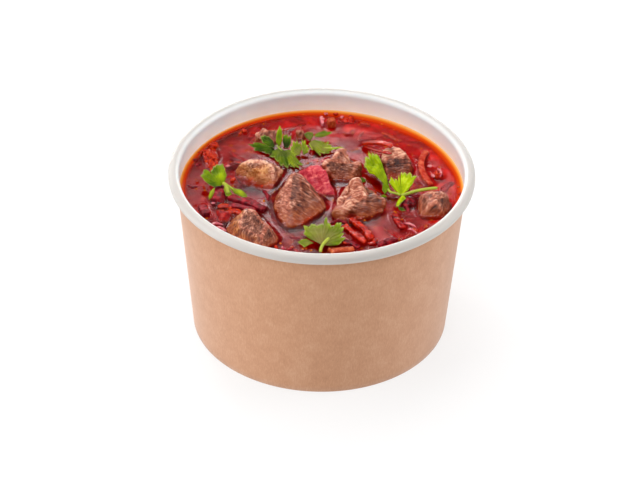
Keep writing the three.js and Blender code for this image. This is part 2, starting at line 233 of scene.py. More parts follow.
def cup_wall():
    """The rolled and folded sheet, its white side numbered 1, with the step of its glued seam."""
    bm = spun([
        (wall_radius(FOLD), FOLD),
        *[(wall_radius(z), z) for z in OUTSIDE_RINGS],
        (wall_radius(SHOULDER_HEIGHT), SHOULDER_HEIGHT),
        *roll_arc(ROLL_RADIUS - BOARD, 180, ROLL_END, ROLL_STEPS[0]),
        *roll_arc(ROLL_RADIUS, ROLL_END, 180, ROLL_STEPS[1]),
        (RIM_RADIUS - 2 * ROLL_RADIUS, WALL_TOP_INSIDE),
        *[(wall_radius(z, BOARD), z) for z in INSIDE_RINGS],
        (wall_radius(HEM_HEIGHT, HEM_THICKNESS), HEM_HEIGHT),
        (wall_radius(FOLD, HEM_THICKNESS), FOLD),
        (wall_radius(0, HEM_THICKNESS - FOLD), 0),
        (wall_radius(0, FOLD), 0),
    ])
    for face in bm.faces:
        middle = face.calc_center_median() / MM
        outside = middle.xy.length > wall_radius(middle.z, BOARD / 2)
        below_roll = middle.z < SHOULDER_HEIGHT - HAIR
        in_hem = middle.z < HEM_HEIGHT - HAIR / 2
        face.material_index = 0 if outside and below_roll or in_hem else 1
    for vert in bm.verts:
        angle = math.atan2(vert.co.y, vert.co.x)
        radius, z = vert.co.xy.length / MM, vert.co.z / MM
        on_outside = radius > wall_radius(z, BOARD / 2) and z < SHOULDER_HEIGHT - HAIR
        if SEAM_ANGLES[0] < angle < SEAM_ANGLES[1] and on_outside:
            vert.co.xy *= (radius + SEAM_STEP) / radius
    new_piece("cup_wall_sheet", bm, [brown_board(), WHITE_BOARD], ["cup_wall"])


WHITE_BOARD = coated_board()
cup_wall()


# ----------------------------------------
# The cup's bottom: a disc of the same board held by the folded foot, pressed a little downwards
# at its edge.

BOTTOM_LOW, BOTTOM_HIGH = (corner.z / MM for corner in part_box("cup_bottom"))
BOTTOM_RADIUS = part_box("cup_bottom")[1].x / MM
PRESSED_EDGE = (5, 3.5)  # the press starts and ends this far in from the edge
PRESSED_BY = (0.25, 0.2)  # at the disc's middle, and where the press starts

disc = spun([
    (0, BOTTOM_LOW + PRESSED_BY[0]),
    (BOTTOM_RADIUS - PRESSED_EDGE[0], BOTTOM_LOW + PRESSED_BY[1]),
    (BOTTOM_RADIUS - PRESSED_EDGE[1], BOTTOM_LOW),
    (BOTTOM_RADIUS, BOTTOM_LOW),
    (BOTTOM_RADIUS, BOTTOM_HIGH),
    (0, BOTTOM_HIGH),
], closed=False)
new_piece("cup_bottom_disc", disc, [WHITE_BOARD], ["cup_bottom"])


# ----------------------------------------
# What lies under the broth: a bed of soft cabbage and beetroot, stained through. Only its lumps
# and colour are seen, through a few millimetres of broth. It slopes down to the left and front.

GRID_STEP = 0.44
INSIDE_RADIUS = wall_radius(BROTH_LEVEL, BOARD)
BED_STEP = 1.1
BED_DEPTH = 5.6
BED_LEAST_DEPTH = 1.4
BED_SLOPE = (0.034, 0.015)  # rise per mm towards +X and +Y
BED_LUMPS = (6, 2.2)  # size of the large and of the small lumps
BED_RELIEF = 2.2
BED_RADIUS = 53.6
BED_FOOT_RADIUS = BED_RADIUS - 1.4
BED_FOOT = BROTH_LEVEL - 16
BED_LEVEL_RADIUS = 26  # outside it the bed rises towards the wall
BED_EDGE_RISE = 3.0
BED_HOLLOW = (51, -4, 15, 2.6)  # a hollow's x, y, width and depth


def round_sheet(radius, step):
    """A flat bmesh disc of squares of a step in mm, its edge drawn out to the radius."""
    bm = bmesh.new()
    count = round(2 * radius / step)
    bmesh.ops.create_grid(bm, x_segments=count, y_segments=count, size=radius * MM)
    outer = [v for v in bm.verts if v.co.length > (radius - 0.35 * step) * MM]
    bmesh.ops.delete(bm, geom=outer, context="VERTS")
    for vert in [v for v in bm.verts if v.is_boundary]:
        vert.co *= radius * MM / vert.co.length
    return bm


def close_below(bm, radius, height):
    """Draws a sheet's edge down to a ring at a height, and closes it there. Sizes in mm."""
    rim = [e for e in bm.edges if e.is_boundary]
    side = bmesh.ops.extrude_edge_only(bm, edges=rim)["geom"]
    for vert in [g for g in side if isinstance(g, bmesh.types.BMVert)]:
        vert.co.z = height * MM
        vert.co.xy *= radius * MM / vert.co.xy.length
    bmesh.ops.contextual_create(bm, geom=[e for e in bm.edges if e.is_boundary])
    bmesh.ops.recalc_face_normals(bm, faces=bm.faces)


def noise_at(x, y, size, layer):
    """Smooth noise over the broth's plane with features of a size in mm, one layer of many."""
    return noise.noise(Vector((x / size, y / size, layer)))


def sunk_bed_material():
    """Cabbage and beetroot boiled soft and stained: crimson and magenta, in blurred patches."""
    material, tree = new_material("boiled_vegetables_stained")
    patches = grain(tree, 5, stretch=(1.5, 1, 1), Detail=4.0, Roughness=0.6, Distortion=0.5)
    wide = grain(tree, 24, Detail=1.0)
    mixed = add_node(tree, "Mix", {"Factor": 0.42, "A": patches, "B": wide}, data_type="FLOAT")
    reds = [(0.34, "#8A0A1E"), (0.66, "#F47850"), (0.45, "#B41C2C"), (0.55, "#D83C3C")]
    colour = add_node(tree, "ValToRGB", {"Fac": mixed}, reds)
    surface = add_node(tree, "BsdfPrincipled", {"Base Color": colour, "Roughness": 0.6})
    add_node(tree, "OutputMaterial", {"Surface": surface})
    return material


def sunk_bed():
    """The bed's uneven top, closed below."""
    bm = round_sheet(BED_RADIUS, BED_STEP)
    for vert in bm.verts:
        x, y = vert.co.x / MM, vert.co.y / MM
        lump = noise_at(x, y, BED_LUMPS[0], 3) + 0.5 * noise_at(x, y, BED_LUMPS[1], 8)
        outwards = max(0, math.hypot(x, y) - BED_LEVEL_RADIUS) / (BED_RADIUS - BED_LEVEL_RADIUS)
        depth = BED_DEPTH - BED_SLOPE[0] * x - BED_SLOPE[1] * y - BED_EDGE_RISE * outwards
        away = math.hypot(x - BED_HOLLOW[0], y - BED_HOLLOW[1]) / BED_HOLLOW[2]
        depth += BED_HOLLOW[3] * math.exp(-away * away)
        vert.co.z = (BROTH_LEVEL - max(BED_LEAST_DEPTH, depth - BED_RELIEF * lump)) * MM
    close_below(bm, BED_FOOT_RADIUS, BED_FOOT)
    new_piece("sunk_vegetables", bm, [sunk_bed_material()])


sunk_bed()


# ----------------------------------------
# The broth: clear, deep red with beetroot. It wets the cup and everything that floats, so its
# surface climbs a little at each of them, and it reaches just into the wall.

# What the broth climbs at, each with the climb and its width in mm.
BEEF_WETTING = (0.65, 0.62)
LOW_WETTING = (0.25, 0.5)
WALL_WETTING = (0.12, 1.6)
WETTING_UNEVENNESS = (0.8, 0.5, 2.6)  # its mean, by how much it varies, and over which length
REACH_INTO_WALL = 0.3
# The swell and the ripples, each with its height and its length in mm.
SWELL = (0.05, 15)
RIPPLE = (0.008, 4)
BROTH_TINT = "#FAC8B8"
BROTH_STRENGTH = 1700.0
BROTH_FOOT = BOTTOM_HIGH + 0.3

LOW_KINDS = ("beet", "tomato", "pepper", "carrot", "onion")
FLOATING_BEEF = [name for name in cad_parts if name.startswith("beef_")]
FLOATING_LOW = [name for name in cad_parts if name.split("_")[0] in LOW_KINDS]


def tree_of(names):
    """A search tree over CAD nodes, in metres."""
    verts, faces = [], []
    for name in names:
        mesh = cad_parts[name].data
        start = len(verts)
        verts.extend(v.co.copy() for v in mesh.vertices)
        faces.extend([start + i for i in p.vertices] for p in mesh.polygons)
    return BVHTree.FromPolygons(verts, faces)


def gap_to(tree, x, y):
    """Distance in mm on the broth's level from a place to the solids in a tree, 0 inside them."""
    spot = Vector((x, y, BROTH_LEVEL)) * MM
    nearest, normal, _, distance = tree.find_nearest(spot)
    return 0 if (spot - nearest).dot(normal) < 0 else distance / MM


def surface_height(x, y):
    """Height of the broth's surface in mm: a swell, ripples, and the climb at what it wets."""
    height = BROTH_LEVEL
    height += SWELL[0] * noise_at(x, y, SWELL[1], 1)
    height += RIPPLE[0] * noise_at(x, y, RIPPLE[1], 5)
    uneven = WETTING_UNEVENNESS[0]
    uneven += WETTING_UNEVENNESS[1] * noise_at(x, y, WETTING_UNEVENNESS[2], 9)
    to_wall = max(0, INSIDE_RADIUS - math.hypot(x, y))
    at_wall = WALL_WETTING[0] * math.exp(-to_wall / WALL_WETTING[1])
    at_beef = BEEF_WETTING[0] * math.exp(-gap_to(beef_tree, x, y) / BEEF_WETTING[1])
    at_low = LOW_WETTING[0] * math.exp(-gap_to(low_tree, x, y) / LOW_WETTING[1])
    return height + max(uneven * at_beef, uneven * at_low, at_wall)


def broth_material():
    """Clear stock with dissolved beetroot: colourless at a glance, it keeps only red and a little
    orange over a few millimetres. Rays towards the lights pass its surface unbent."""
    material, tree = new_material("beetroot_broth_clear")
    liquid = add_node(tree, "BsdfPrincipled", {
        "Base Color": "#FFFFFF", "Roughness": 0.1, "IOR": 1.29, "Transmission Weight": 1.0,
    })
    unbent = add_node(tree, "BsdfTransparent", {"Color": "#FFFFFF"})
    to_light = add_node(tree, "LightPath").outputs["Is Shadow Ray"]
    surface = add_node(tree, "MixShader", {0: to_light, 1: liquid, 2: unbent})
    tint = add_node(tree, "VolumeAbsorption", {"Color": BROTH_TINT, "Density": BROTH_STRENGTH})
    add_node(tree, "OutputMaterial", {"Surface": surface, "Volume": tint})
    return material


def broth():
    """The surface, and the side and bottom of the liquid."""
    bm = round_sheet(INSIDE_RADIUS + REACH_INTO_WALL, GRID_STEP)
    for vert in bm.verts:
        vert.co.z = surface_height(vert.co.x / MM, vert.co.y / MM) * MM
    close_below(bm, wall_radius(BROTH_FOOT, BOARD - REACH_INTO_WALL), BROTH_FOOT)
    new_piece("broth_liquid", bm, [broth_material()], ["broth"])


beef_tree = tree_of(FLOATING_BEEF)
low_tree = tree_of(FLOATING_LOW)
broth()


# ----------------------------------------
# The fat: orange with the vegetables' colour. It gathers in a ring at the cup's wall, and lies in
# small round drops on the broth.

RING_WIDTH = 4.0
RING_SHARES = (0.92, 0.78, 0.3)  # of the width: everywhere, more at its widest, and by chance
RING_WIDEST = math.radians(68)
RING_OUTSIDE = INSIDE_RADIUS + 0.2
RING_LIFT = (0.03, 0.03)  # above the broth, and more at the wall
RING_STEPS = 16
DROPS = 300
DROP_SPREAD = 52
DROP_MARGIN = 1  # kept from the wall, in mm
DROP_RADIUS = (0.16, 0.5)
DROP_FLATNESS = 0.45
DROP_SHADE = 0.3  # where on the film's colours the drops are


def fat_material():
    """Rendered fat: an even orange that thins out to nothing over the broth. It lets light through
    to what lies below."""
    material, tree = new_material("orange_fat_film")
    inwards = add_node(tree, "Attribute", attribute_name="inwards").outputs["Fac"]
    colour = add_node(tree, "ValToRGB", {"Fac": inwards}, [
        (0.0, "#F0C89C"), (1.0, "#AC1804"), (0.1, "#F0AC60"), (0.25, "#E07C1C"),
        (0.4, "#C83E02"), (0.62, "#BC2A00"),
    ])
    film = add_node(tree, "BsdfPrincipled", {"Base Color": colour, "Roughness": 0.1, "IOR": 1.12})
    clear = add_node(tree, "BsdfTransparent", {"Color": "#FFFFFF"})
    thin = {"Value": inwards, "From Min": 0.5, "From Max": 1.0}
    fading = add_node(tree, "MapRange", thin, interpolation_type="SMOOTHSTEP")
    seen = add_node(tree, "MixShader", {0: fading, 1: film, 2: clear})
    lit_through = add_node(tree, "BsdfTransparent", {"Color": "#FFC090"})
    to_light = add_node(tree, "LightPath").outputs["Is Shadow Ray"]
    surface = add_node(tree, "MixShader", {0: to_light, 1: seen, 2: lit_through})
    add_node(tree, "OutputMaterial", {"Surface": surface})
    return material


def fat_ring():
    """A film that lies on the broth along the wall, wider in some places than in others."""
    radii = [RING_OUTSIDE - i * RING_WIDTH / RING_STEPS for i in range(RING_STEPS + 1)]
    bm = spun([(radius, 0) for radius in radii], closed=False)
    inwards = bm.verts.layers.float.new("inwards")
    for vert in bm.verts:
        x, y = vert.co.x / MM, vert.co.y / MM
        radius = math.hypot(x, y)
        share = (RING_OUTSIDE - radius) / RING_WIDTH
        wide = max(0, math.cos(math.atan2(y, x) - RING_WIDEST)) ** 2
        chance = noise.noise(Vector((x, y, 0)).normalized() * 3)
        shares = RING_SHARES[0] + RING_SHARES[1] * wide + RING_SHARES[2] * chance
        new_radius = RING_OUTSIDE - share * RING_WIDTH * shares
        vert.co.xy *= new_radius / radius
        lift = RING_LIFT[0] + RING_LIFT[1] * (1 - share)
        vert.co.z = (surface_height(vert.co.x / MM, vert.co.y / MM) + lift) * MM
        vert[inwards] = share
    bmesh.ops.recalc_face_normals(bm, faces=bm.faces)
    if sum(face.normal.z for face in bm.faces) < 0:
        bmesh.ops.reverse_faces(bm, faces=bm.faces)
    new_piece("fat_ring", bm, [FAT])


def fat_drops():
    """Flat beads of fat at random on the open broth, a few dozen faces each."""
    rng = random.Random("fat drops")
    bm = bmesh.new()
    made = 0
    while made < DROPS:
        x, y = rng.uniform(-DROP_SPREAD, DROP_SPREAD), rng.uniform(-DROP_SPREAD, DROP_SPREAD)
        radius = DROP_RADIUS[0] + (DROP_RADIUS[1] - DROP_RADIUS[0]) * rng.random() ** 2
        gap = min(gap_to(beef_tree, x, y), gap_to(low_tree, x, y))
        if math.hypot(x, y) > INSIDE_RADIUS - DROP_MARGIN or gap < radius:
            continue
        place = Matrix.Translation(Vector((x, y, surface_height(x, y))) * MM)
        flat = Matrix.Diagonal((radius * MM, radius * MM, DROP_FLATNESS * radius * MM, 1))
        bmesh.ops.create_uvsphere(bm, u_segments=8, v_segments=5, radius=1, matrix=place @ flat)
        made += 1
    inwards = bm.verts.layers.float.new("inwards")
    for vert in bm.verts:
        vert[inwards] = DROP_SHADE
    new_piece("fat_drops", bm, [FAT])


FAT = fat_material()
fat_ring()
fat_drops()


# ----------------------------------------
# The beef: cubes cut from a boiled joint. Their short fibres show on every face, the lean is
# grey-brown, the edges are paler, and what is near the broth is orange with its fat. Painted light
# and shade lie on it: paler on the side turned to the light, darker away from it and in its gaps.

BEEF_VOXEL = 0.34
BEEF_BEVEL = 0.3
BEEF_SMOOTHING = 1
EDGE_SPREAD = 2  # steps over which a cut edge's paleness fades
EDGE_SENSITIVITY = 7
# Sizes in mm of what makes a cube uneven, from the widest lumps to the strands.
WIDE_SIZE = 4.2
KNOT_SIZE = 1.9
BUNDLE_SIZE = (1.9, 7)  # across the fibres and along them, as for the strands
STRAND_SIZE = (0.55, 2.8)
FIBRE_BEND = (0.7, 4)  # how far the fibres wander, and over which length
GROOVE_WIDTH = 0.22  # of a bundle's
GROOVED = (-0.35, 0.3)  # on the widest lumps: from none to fully grooved
GRAIN_ALONG = 0.16  # how much the finest grain is drawn out along the fibres
# How far each of them stands out or goes in, in mm, and how much paler or darker it is painted:
# paler where it stands out and darker where it goes in, as painted highlight and shade.
LUMP_HEIGHT = 0.9
STRAND_HEIGHT = 0.12
GROOVE_DEPTH = 0.22
SWOLLEN = 0.15
WIDE_TONE = 0.2
KNOT_TONE = (0.13, 0.2)  # always, and more with a cube's lumps
STRAND_TONE = 0.12
GROOVE_TONE = 0.16
ALL_TONE = -0.065
# Where the soaked side and the side painted paler as painted light begin and end, by how
# squarely a place faces that way.
FACING_FAT = (0.25, 0.75)
FACING_LIGHT = (0.4, 0.8)
EDGE_PALENESS = (1.35, 0.88)  # its strength, and the most it comes to
WET_BELOW = 3.1  # over the broth, in mm; soaked through at it
WETNESS = 0.8
WET_STAIN = 0.6
FAT_STAIN = (0.5, 0.4)  # everywhere on the soaked side, and more on the widest lumps
# Each cube: which way its fibres run, which side is soaked with fat and how much, which side is
# turned to the light and painted paler and how much (the length of its arrow), how lumpy it is,
# how much paler than others it is away from and on its lit side, the difference being painted
# light and shade, and its knobs: x, y, height over the broth, width, and how far each stands out.
BEEF = {
    "beef_centre": dict(
        fibres=(0.85, -0.3, -0.4), soaked=(0.75, -0.3, -0.55), soak=1.0, lit_side=(-0.74, -0.14, 0.28),
        lumps=0.3,
        knobs=[(-10.3, -3.2, 7.6, 1.8, 0.6), (-10.6, -25.9, 0.0, 1.9, 1.6),
               (-1.6, -14.4, 1.5, 2.6, 1.2), (-16.9, -14.4, 0.7, 2.2, 0.8),
               (-6.9, -19.8, 1.9, 2.2, -0.7)],
    ),
    "beef_front_left": dict(
        fibres=(0.2, 0.3, 0.9), soaked=(-0.9, -0.3, 0), soak=1.1, lit_side=(0.03, 0.2, 0.34), lumps=0.3,
        knobs=[(-27.8, -27.5, 6.8, 2.2, 0.8), (-20.1, -35.5, 4.8, 2.6, 1.0),
               (-23.6, -32.4, 5.8, 1.8, -1.0)],
    ),
    "beef_centre_right": dict(
        fibres=(0.9, 0.1, -0.3), soaked=(-0.5, -0.7, -0.3), soak=0.8, lit_side=(-0.5, 0.2, 0.72),
        lumps=0.7, tone=(-0.06, 0.12),
        knobs=[(13.3, -6.3, 6.2, 2.2, 2.2), (18.1, -10.3, 5.5, 1.7, -2.6),
               (22.8, -12.9, 1.8, 3.0, 2.2), (6.6, -18.8, 1.1, 2.5, 2.6),
               (11.7, -19.8, 0.9, 1.9, -2.2), (17.0, -17.6, 1.7, 2.2, 1.9),
               (9.7, -9.6, 4.8, 1.8, -1.8), (14.2, -13.6, 4.4, 1.5, -1.6),
               (11.0, -14.6, 4.2, 2.0, 1.2)],
    ),
    "beef_back_centre": dict(
        fibres=(0.9, -0.5, 0.3), soaked=(-0.5, 0, -0.8), soak=0.5, lit_side=(-0.3, 0.12, 0.4), lumps=0.6,
        tone=(0.02, 0.06),
        knobs=[(7.4, 15.7, 5.4, 1.8, 2.0), (11.3, 11.2, 4.7, 1.6, -1.8), (13.6, 10.1, 3.2, 1.9, 2.0),
               (3.1, 9.1, 4.6, 2.2, 1.0), (7.6, 9.6, 4.4, 1.6, -1.4)],
    ),
    "beef_right_back": dict(
        fibres=(0.9, 0.35, -0.2), soaked=(0.9, 0.1, 0), soak=0.4, lit_side=(-0.2, 0.66, 0.6), lumps=0.35,
        tone=(-0.2, 0.18), drift=0.08,
        knobs=[(27.3, 18.1, 5.6, 2.4, 0.6), (32.3, 13.8, 3.9, 2.0, -0.8), (28.4, 9.4, 1.7, 3.0, -1.5),
               (29.0, 13.9, 4.1, 2.4, 0.9), (24.8, 13.4, 3.2, 2.0, 0.7)],
    ),
    "beef_right_front": dict(
        fibres=(0.6, 0.4, 0.7), soaked=(-0.3, -0.7, -0.6), soak=0.9, lit_side=(-0.1, 0.06, 0.44),
        lumps=0.3, tone=(-0.03, 0.01),
        knobs=[(39.1, -11.2, 4.2, 2.2, 0.8), (41.7, -16.2, 3.5, 2.4, 0.9),
               (45.1, -14.5, 4.8, 1.8, -1.0)],
    ),
    "beef_left": dict(
        fibres=(0.3, -0.6, 0.7), soaked=(-0.8, -0.4, 0.3), soak=1.2, lit_side=(-0.1, 0.2, 0.6), lumps=0.6,
        tone=(0.12, 0.33),
        knobs=[(-28.3, 8.6, 3.4, 1.8, 1.4), (-25.1, 6.4, 2.6, 1.6, 1.8), (-23.1, 3.7, 1.2, 1.8, 1.8),
               (-27.0, 5.1, 1.1, 1.5, -1.6), (-20.8, 6.1, 3.3, 1.8, 1.4),
               (-25.0, 10.5, 4.2, 3.4, 1.5), (-23.4, 7.6, 3.4, 1.2, -1.4)],
    ),
    "beef_back_left": dict(
        fibres=(0.5, 0.8, 0.5), soaked=(0, -0.5, -0.8), soak=0.4, lit_side=(-0.2, 0.12, 0.5), lumps=0.9,
        tone=(0.06, 0.1),
        knobs=[(-23.1, 33.0, 3.8, 1.8, 1.0), (-19.6, 34.0, 3.7, 1.5, -1.0)],
    ),
    "beef_back_bit": dict(
        fibres=(0.2, 0.3, 0.9), soaked=(0, -0.5, -0.8), soak=0.4, lit_side=(-0.2, 0.12, 0.32), lumps=0.5,
        tone=(0.03, 0.07),
    ),
}


def rounded_solid(node, bevel, voxel, smoothing):
    """A bmesh of a CAD solid, its edges rounded and its faces cut into squares of a size in mm."""
    bm = bmesh.new()
    bm.from_mesh(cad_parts[node].data)
    bmesh.ops.remove_doubles(bm, verts=bm.verts, dist=0.01 * MM)
    bmesh.ops.dissolve_limit(
        bm, angle_limit=math.radians(2), verts=bm.verts, edges=bm.edges,
        use_dissolve_boundaries=False,
    )
    bmesh.ops.bevel(
        bm, geom=bm.edges, offset=bevel * MM, offset_type="OFFSET", segments=3, profile=0.5,
        affect="EDGES", clamp_overlap=True, material=-1,
    )
    mesh = bpy.data.meshes.new("rough")
    bm.to_mesh(mesh)
    bm.free()
    rough = bpy.data.objects.new("rough", mesh)
    bpy.context.scene.collection.objects.link(rough)
    remesh = rough.modifiers.new("squares", "REMESH")
    remesh.mode = "VOXEL"
    remesh.voxel_size = voxel * MM
    fine = rough.evaluated_get(bpy.context.evaluated_depsgraph_get()).to_mesh()
    bm = bmesh.new()
    bm.from_mesh(fine)
    bpy.data.objects.remove(rough)
    bpy.data.meshes.remove(mesh)
    for _ in range(smoothing):
        bmesh.ops.smooth_vert(
            bm, verts=bm.verts, factor=0.5, use_axis_x=True, use_axis_y=True, use_axis_z=True
        )
    bm.normal_update()
    return bm


def mark_edges(bm, width):
    """Stores how near each point is to a rounded edge, 0 to 1, as a point attribute; the painted
    light of a cube's lit side is added to it later.
    """
    edge = bm.verts.layers.float.new("edge")
    for vert in bm.verts:
        bends = [(vert.normal - e.other_vert(vert).normal).length for e in vert.link_edges]
        vert[edge] = min(1.0, EDGE_SENSITIVITY * sum(bends) / len(bends))
    for _ in range(width):
        spread = {
            vert: sum(e.other_vert(vert)[edge] for e in vert.link_edges) / len(vert.link_edges)
            for vert in bm.verts
        }
        for vert, value in spread.items():
            vert[edge] = 0.5 * (vert[edge] + value)
    return edge


def seed_of(name):
    """A place in the noise that is a name's own."""
    return Vector((sum(map(ord, name)) % 97, len(name), 0))


def towards(direction):
    """The matrix that turns a direction onto +Z."""
    return Vector(direction).normalized().rotation_difference(Vector((0, 0, 1))).to_matrix()


def eased(value, low, high):
    """How far a value is from low to high, 0 to 1, eased at both ends."""
    share = max(0.0, min(1.0, (value - low) / (high - low)))
    return share * share * (3 - 2 * share)


def boiled_beef():
    """Boiled beef: brown lean with a thin wet sheen, orange where fat has soaked in. It is salmon and
    tan along the rounded edges, and as painted highlight where strands stand out and on the side
    turned to the light; it is painted dark in its gaps, as painted shade."""
    material, tree = new_material("boiled_beef")
    relief, edge, stain, wet = (
        add_node(tree, "Attribute", attribute_name=name).outputs["Fac"]
        for name in ("relief", "edge", "stain", "wet")
    )
    fibre_place = add_node(tree, "Attribute", attribute_name="fibre_place").outputs["Vector"]
    fine = add_node(tree, "TexNoise", {
        "Vector": fibre_place, "Scale": 1.3, "Detail": 3.0, "Roughness": 0.62,
    })
    patches = grain(tree, 3.2, Detail=3.0)
    uneven = add_node(tree, "Math", {0: fine, 1: 1.45, 2: relief}, operation="MULTIPLY_ADD")
    lean, pale_edge_and_lit, soaked = (
        add_node(tree, "ValToRGB", {"Fac": uneven}, stops)
        for stops in (
            [(0.3, "#340C05"), (1.0, "#DA9C82"), (0.46, "#5C220E"), (0.62, "#763A22"),
             (0.8, "#96563E")],
            [(0.3, "#58200C"), (1.0, "#F6BC9C"), (0.5, "#94462E"), (0.72, "#C06C50")],
            [(0.3, "#4E1804"), (1.0, "#E8A464"), (0.5, "#94460E"), (0.72, "#C06A2A")],
        )
    )
    near_edge_and_lit_side = add_node(tree, "Math", {0: patches, 1: 0.9, 2: edge}, operation="MULTIPLY_ADD")
    on_edge_and_lit_side = add_node(tree, "MapRange", {"Value": near_edge_and_lit_side, "From Min": 0.76, "From Max": 1.2})
    dry = add_node(tree, "Mix", {0: on_edge_and_lit_side, 6: lean, 7: pale_edge_and_lit}, data_type="RGBA").outputs[2]
    near_fat = add_node(tree, "Math", {0: patches, 1: 1.4, 2: stain}, operation="MULTIPLY_ADD")
    in_fat = add_node(tree, "MapRange", {"Value": near_fat, "From Min": 0.95, "From Max": 1.5})
    moist = add_node(tree, "Mix", {0: in_fat, 6: dry, 7: soaked}, data_type="RGBA").outputs[2]
    colour = add_node(tree, "Mix", {0: wet, 6: moist, 7: "#983A12"}, data_type="RGBA").outputs[2]
    bump = add_node(tree, "Bump", {"Height": fine, "Strength": 1.0, "Distance": 0.7 * MM})
    surface = add_node(tree, "BsdfPrincipled", {
        "Base Color": colour, "Normal": bump, "Roughness": 0.46, "IOR": 1.3,
        "Coat Weight": 0.6, "Coat Roughness": 0.12, "Coat Normal": bump,
    })
    add_node(tree, "OutputMaterial", {"Surface": surface})
    return material


def beef_cube(node, fibres, soaked, soak, lit_side, lumps, tone=(0, 0), knobs=(), drift=0.0):
    """One cube: the CAD solid with lumps, bundles of fibres, their strands and the gaps between
    them. Painted light and shade follow them, and its side turned to the light is painted paler;
    with a drift, the more so the further a place lies that way."""
    bm = rounded_solid(node, BEEF_BEVEL, BEEF_VOXEL, BEEF_SMOOTHING)
    relief, stain, wet = (bm.verts.layers.float.new(name) for name in ("relief", "stain", "wet"))
    fibre_place = bm.verts.layers.float_vector.new("fibre_place")
    edge = mark_edges(bm, EDGE_SPREAD)
    turn = towards(fibres)
    seed = seed_of(node)
    soaked_side, lit_way = Vector(soaked).normalized(), Vector(lit_side).normalized()
    middle = sum((vert.co for vert in bm.verts), Vector()) / len(bm.verts) / MM
    for vert in bm.verts:
        point = vert.co / MM
        wide = noise.noise(point / WIDE_SIZE + seed)
        knots = noise.noise(point / KNOT_SIZE + seed)
        bent = turn @ point + FIBRE_BEND[0] * noise.noise_vector(point / FIBRE_BEND[1] + seed)
        across, along = BUNDLE_SIZE
        cells, _ = noise.voronoi(Vector((bent.x / across, bent.y / across, bent.z / along)) + seed)
        groove = max(0, 1 - (cells[1] - cells[0]) / GROOVE_WIDTH) * eased(wide, *GROOVED)
        across, along = STRAND_SIZE
        strand = noise.noise(Vector((bent.x / across, bent.y / across, bent.z / along)) + seed)
        shift = lumps * LUMP_HEIGHT * (wide + knots)
        shift += STRAND_HEIGHT * strand - GROOVE_DEPTH * groove + SWOLLEN
        for x, y, z, width, height in knobs:
            away = (point - Vector((x, y, BROTH_LEVEL + z))).length / width
            shift += height * math.exp(-away * away)
        facing_fat = eased(vert.normal.dot(soaked_side), *FACING_FAT)
        far = drift * (point - middle).dot(lit_way)
        facing_light = eased(vert.normal.dot(lit_way) + far, *FACING_LIGHT)
        low = max(0, min(1, (WET_BELOW - (point.z - BROTH_LEVEL)) / (WET_BELOW + 0.1)))
        vert.co += vert.normal * shift * MM
        vert[fibre_place] = Vector((bent.x, bent.y, bent.z * GRAIN_ALONG))
        # Painted light and shade over each cube's own tone: paler towards the lit side and where it
        # stands out, darker away from the light and in the grooves.
        vert[relief] = ALL_TONE + tone[0] + (tone[1] - tone[0]) * facing_light
        vert[relief] += STRAND_TONE * strand + WIDE_TONE * wide - GROOVE_TONE * groove
        vert[relief] += (KNOT_TONE[0] + KNOT_TONE[1] * lumps) * knots
        vert[wet] = WETNESS * low
        vert[stain] = soak * (FAT_STAIN[0] + FAT_STAIN[1] * wide) * facing_fat + WET_STAIN * low
        at_edge = min(EDGE_PALENESS[1], vert[edge] * EDGE_PALENESS[0])
        # Painted light: the side turned to the light is painted paler, as the edges are.
        vert[edge] = at_edge + Vector(lit_side).length * facing_light
    new_piece(f"{node}_cube", bm, [BOILED_BEEF], [node])


BOILED_BEEF = boiled_beef()
noise.seed_set(1)  # without it noise_vector, which bends the fibres, differs from run to run
for node, look in BEEF.items():
    beef_cube(node, **look)


# ----------------------------------------
# The vegetables: beetroot, tomato, pepper, carrot and onion, cut small and boiled soft. They are
# moist and let some light in. Each starts from its CAD solid, rounded and made uneven.

VEGETABLE_VOXEL = 0.3
VEGETABLE_SMOOTHING = 3
FINE_RELIEF = 0.4  # of the height and of the size of the wide relief
SHRUNK = 0.3  # of the relief's height, by which the whole surface lies further in


def boiled_vegetable(name, dark, middle, light, size, soft=0.25, wet=0.3):
    """A boiled vegetable: mottled flesh under a film of broth, glossy, a little light inside."""
    material, tree = new_material(f"boiled_{name}")
    flesh = grain(tree, size, Detail=4.0, Roughness=0.6, Distortion=0.3)
    stops = [(0.34, dark), (0.68, light), (0.5, middle)]
    colour = add_node(tree, "ValToRGB", {"Fac": flesh}, stops)
    bump = add_node(tree, "Bump", {"Height": flesh, "Strength": 0.6, "Distance": 0.35 * MM})
    surface = add_node(tree, "BsdfPrincipled", {
        "Base Color": colour, "Normal": bump, "Roughness": 0.45, "IOR": 1.15,
        "Subsurface Weight": soft, "Subsurface Radius": (1.0, 0.35, 0.25),
        "Subsurface Scale": 1.5 * MM,
        "Coat Weight": wet, "Coat Roughness": 0.05, "Coat Normal": bump,
    })
    add_node(tree, "OutputMaterial", {"Surface": surface})
    return material


def vegetable(node, material, bevel, relief, size):
    """A vegetable piece: its CAD solid, rounded, with relief of a height and a size in mm."""
    bm = rounded_solid(node, bevel, VEGETABLE_VOXEL, VEGETABLE_SMOOTHING)
    seed = seed_of(node)
    for vert in bm.verts:
        point = vert.co / MM
        height = noise.noise(point / size + seed)
        height += FINE_RELIEF * noise.noise(point / (FINE_RELIEF * size) + seed)
        vert.co += vert.normal * (relief * height - SHRUNK * relief) * MM
    new_piece(f"{node}_piece", bm, [material], [node])


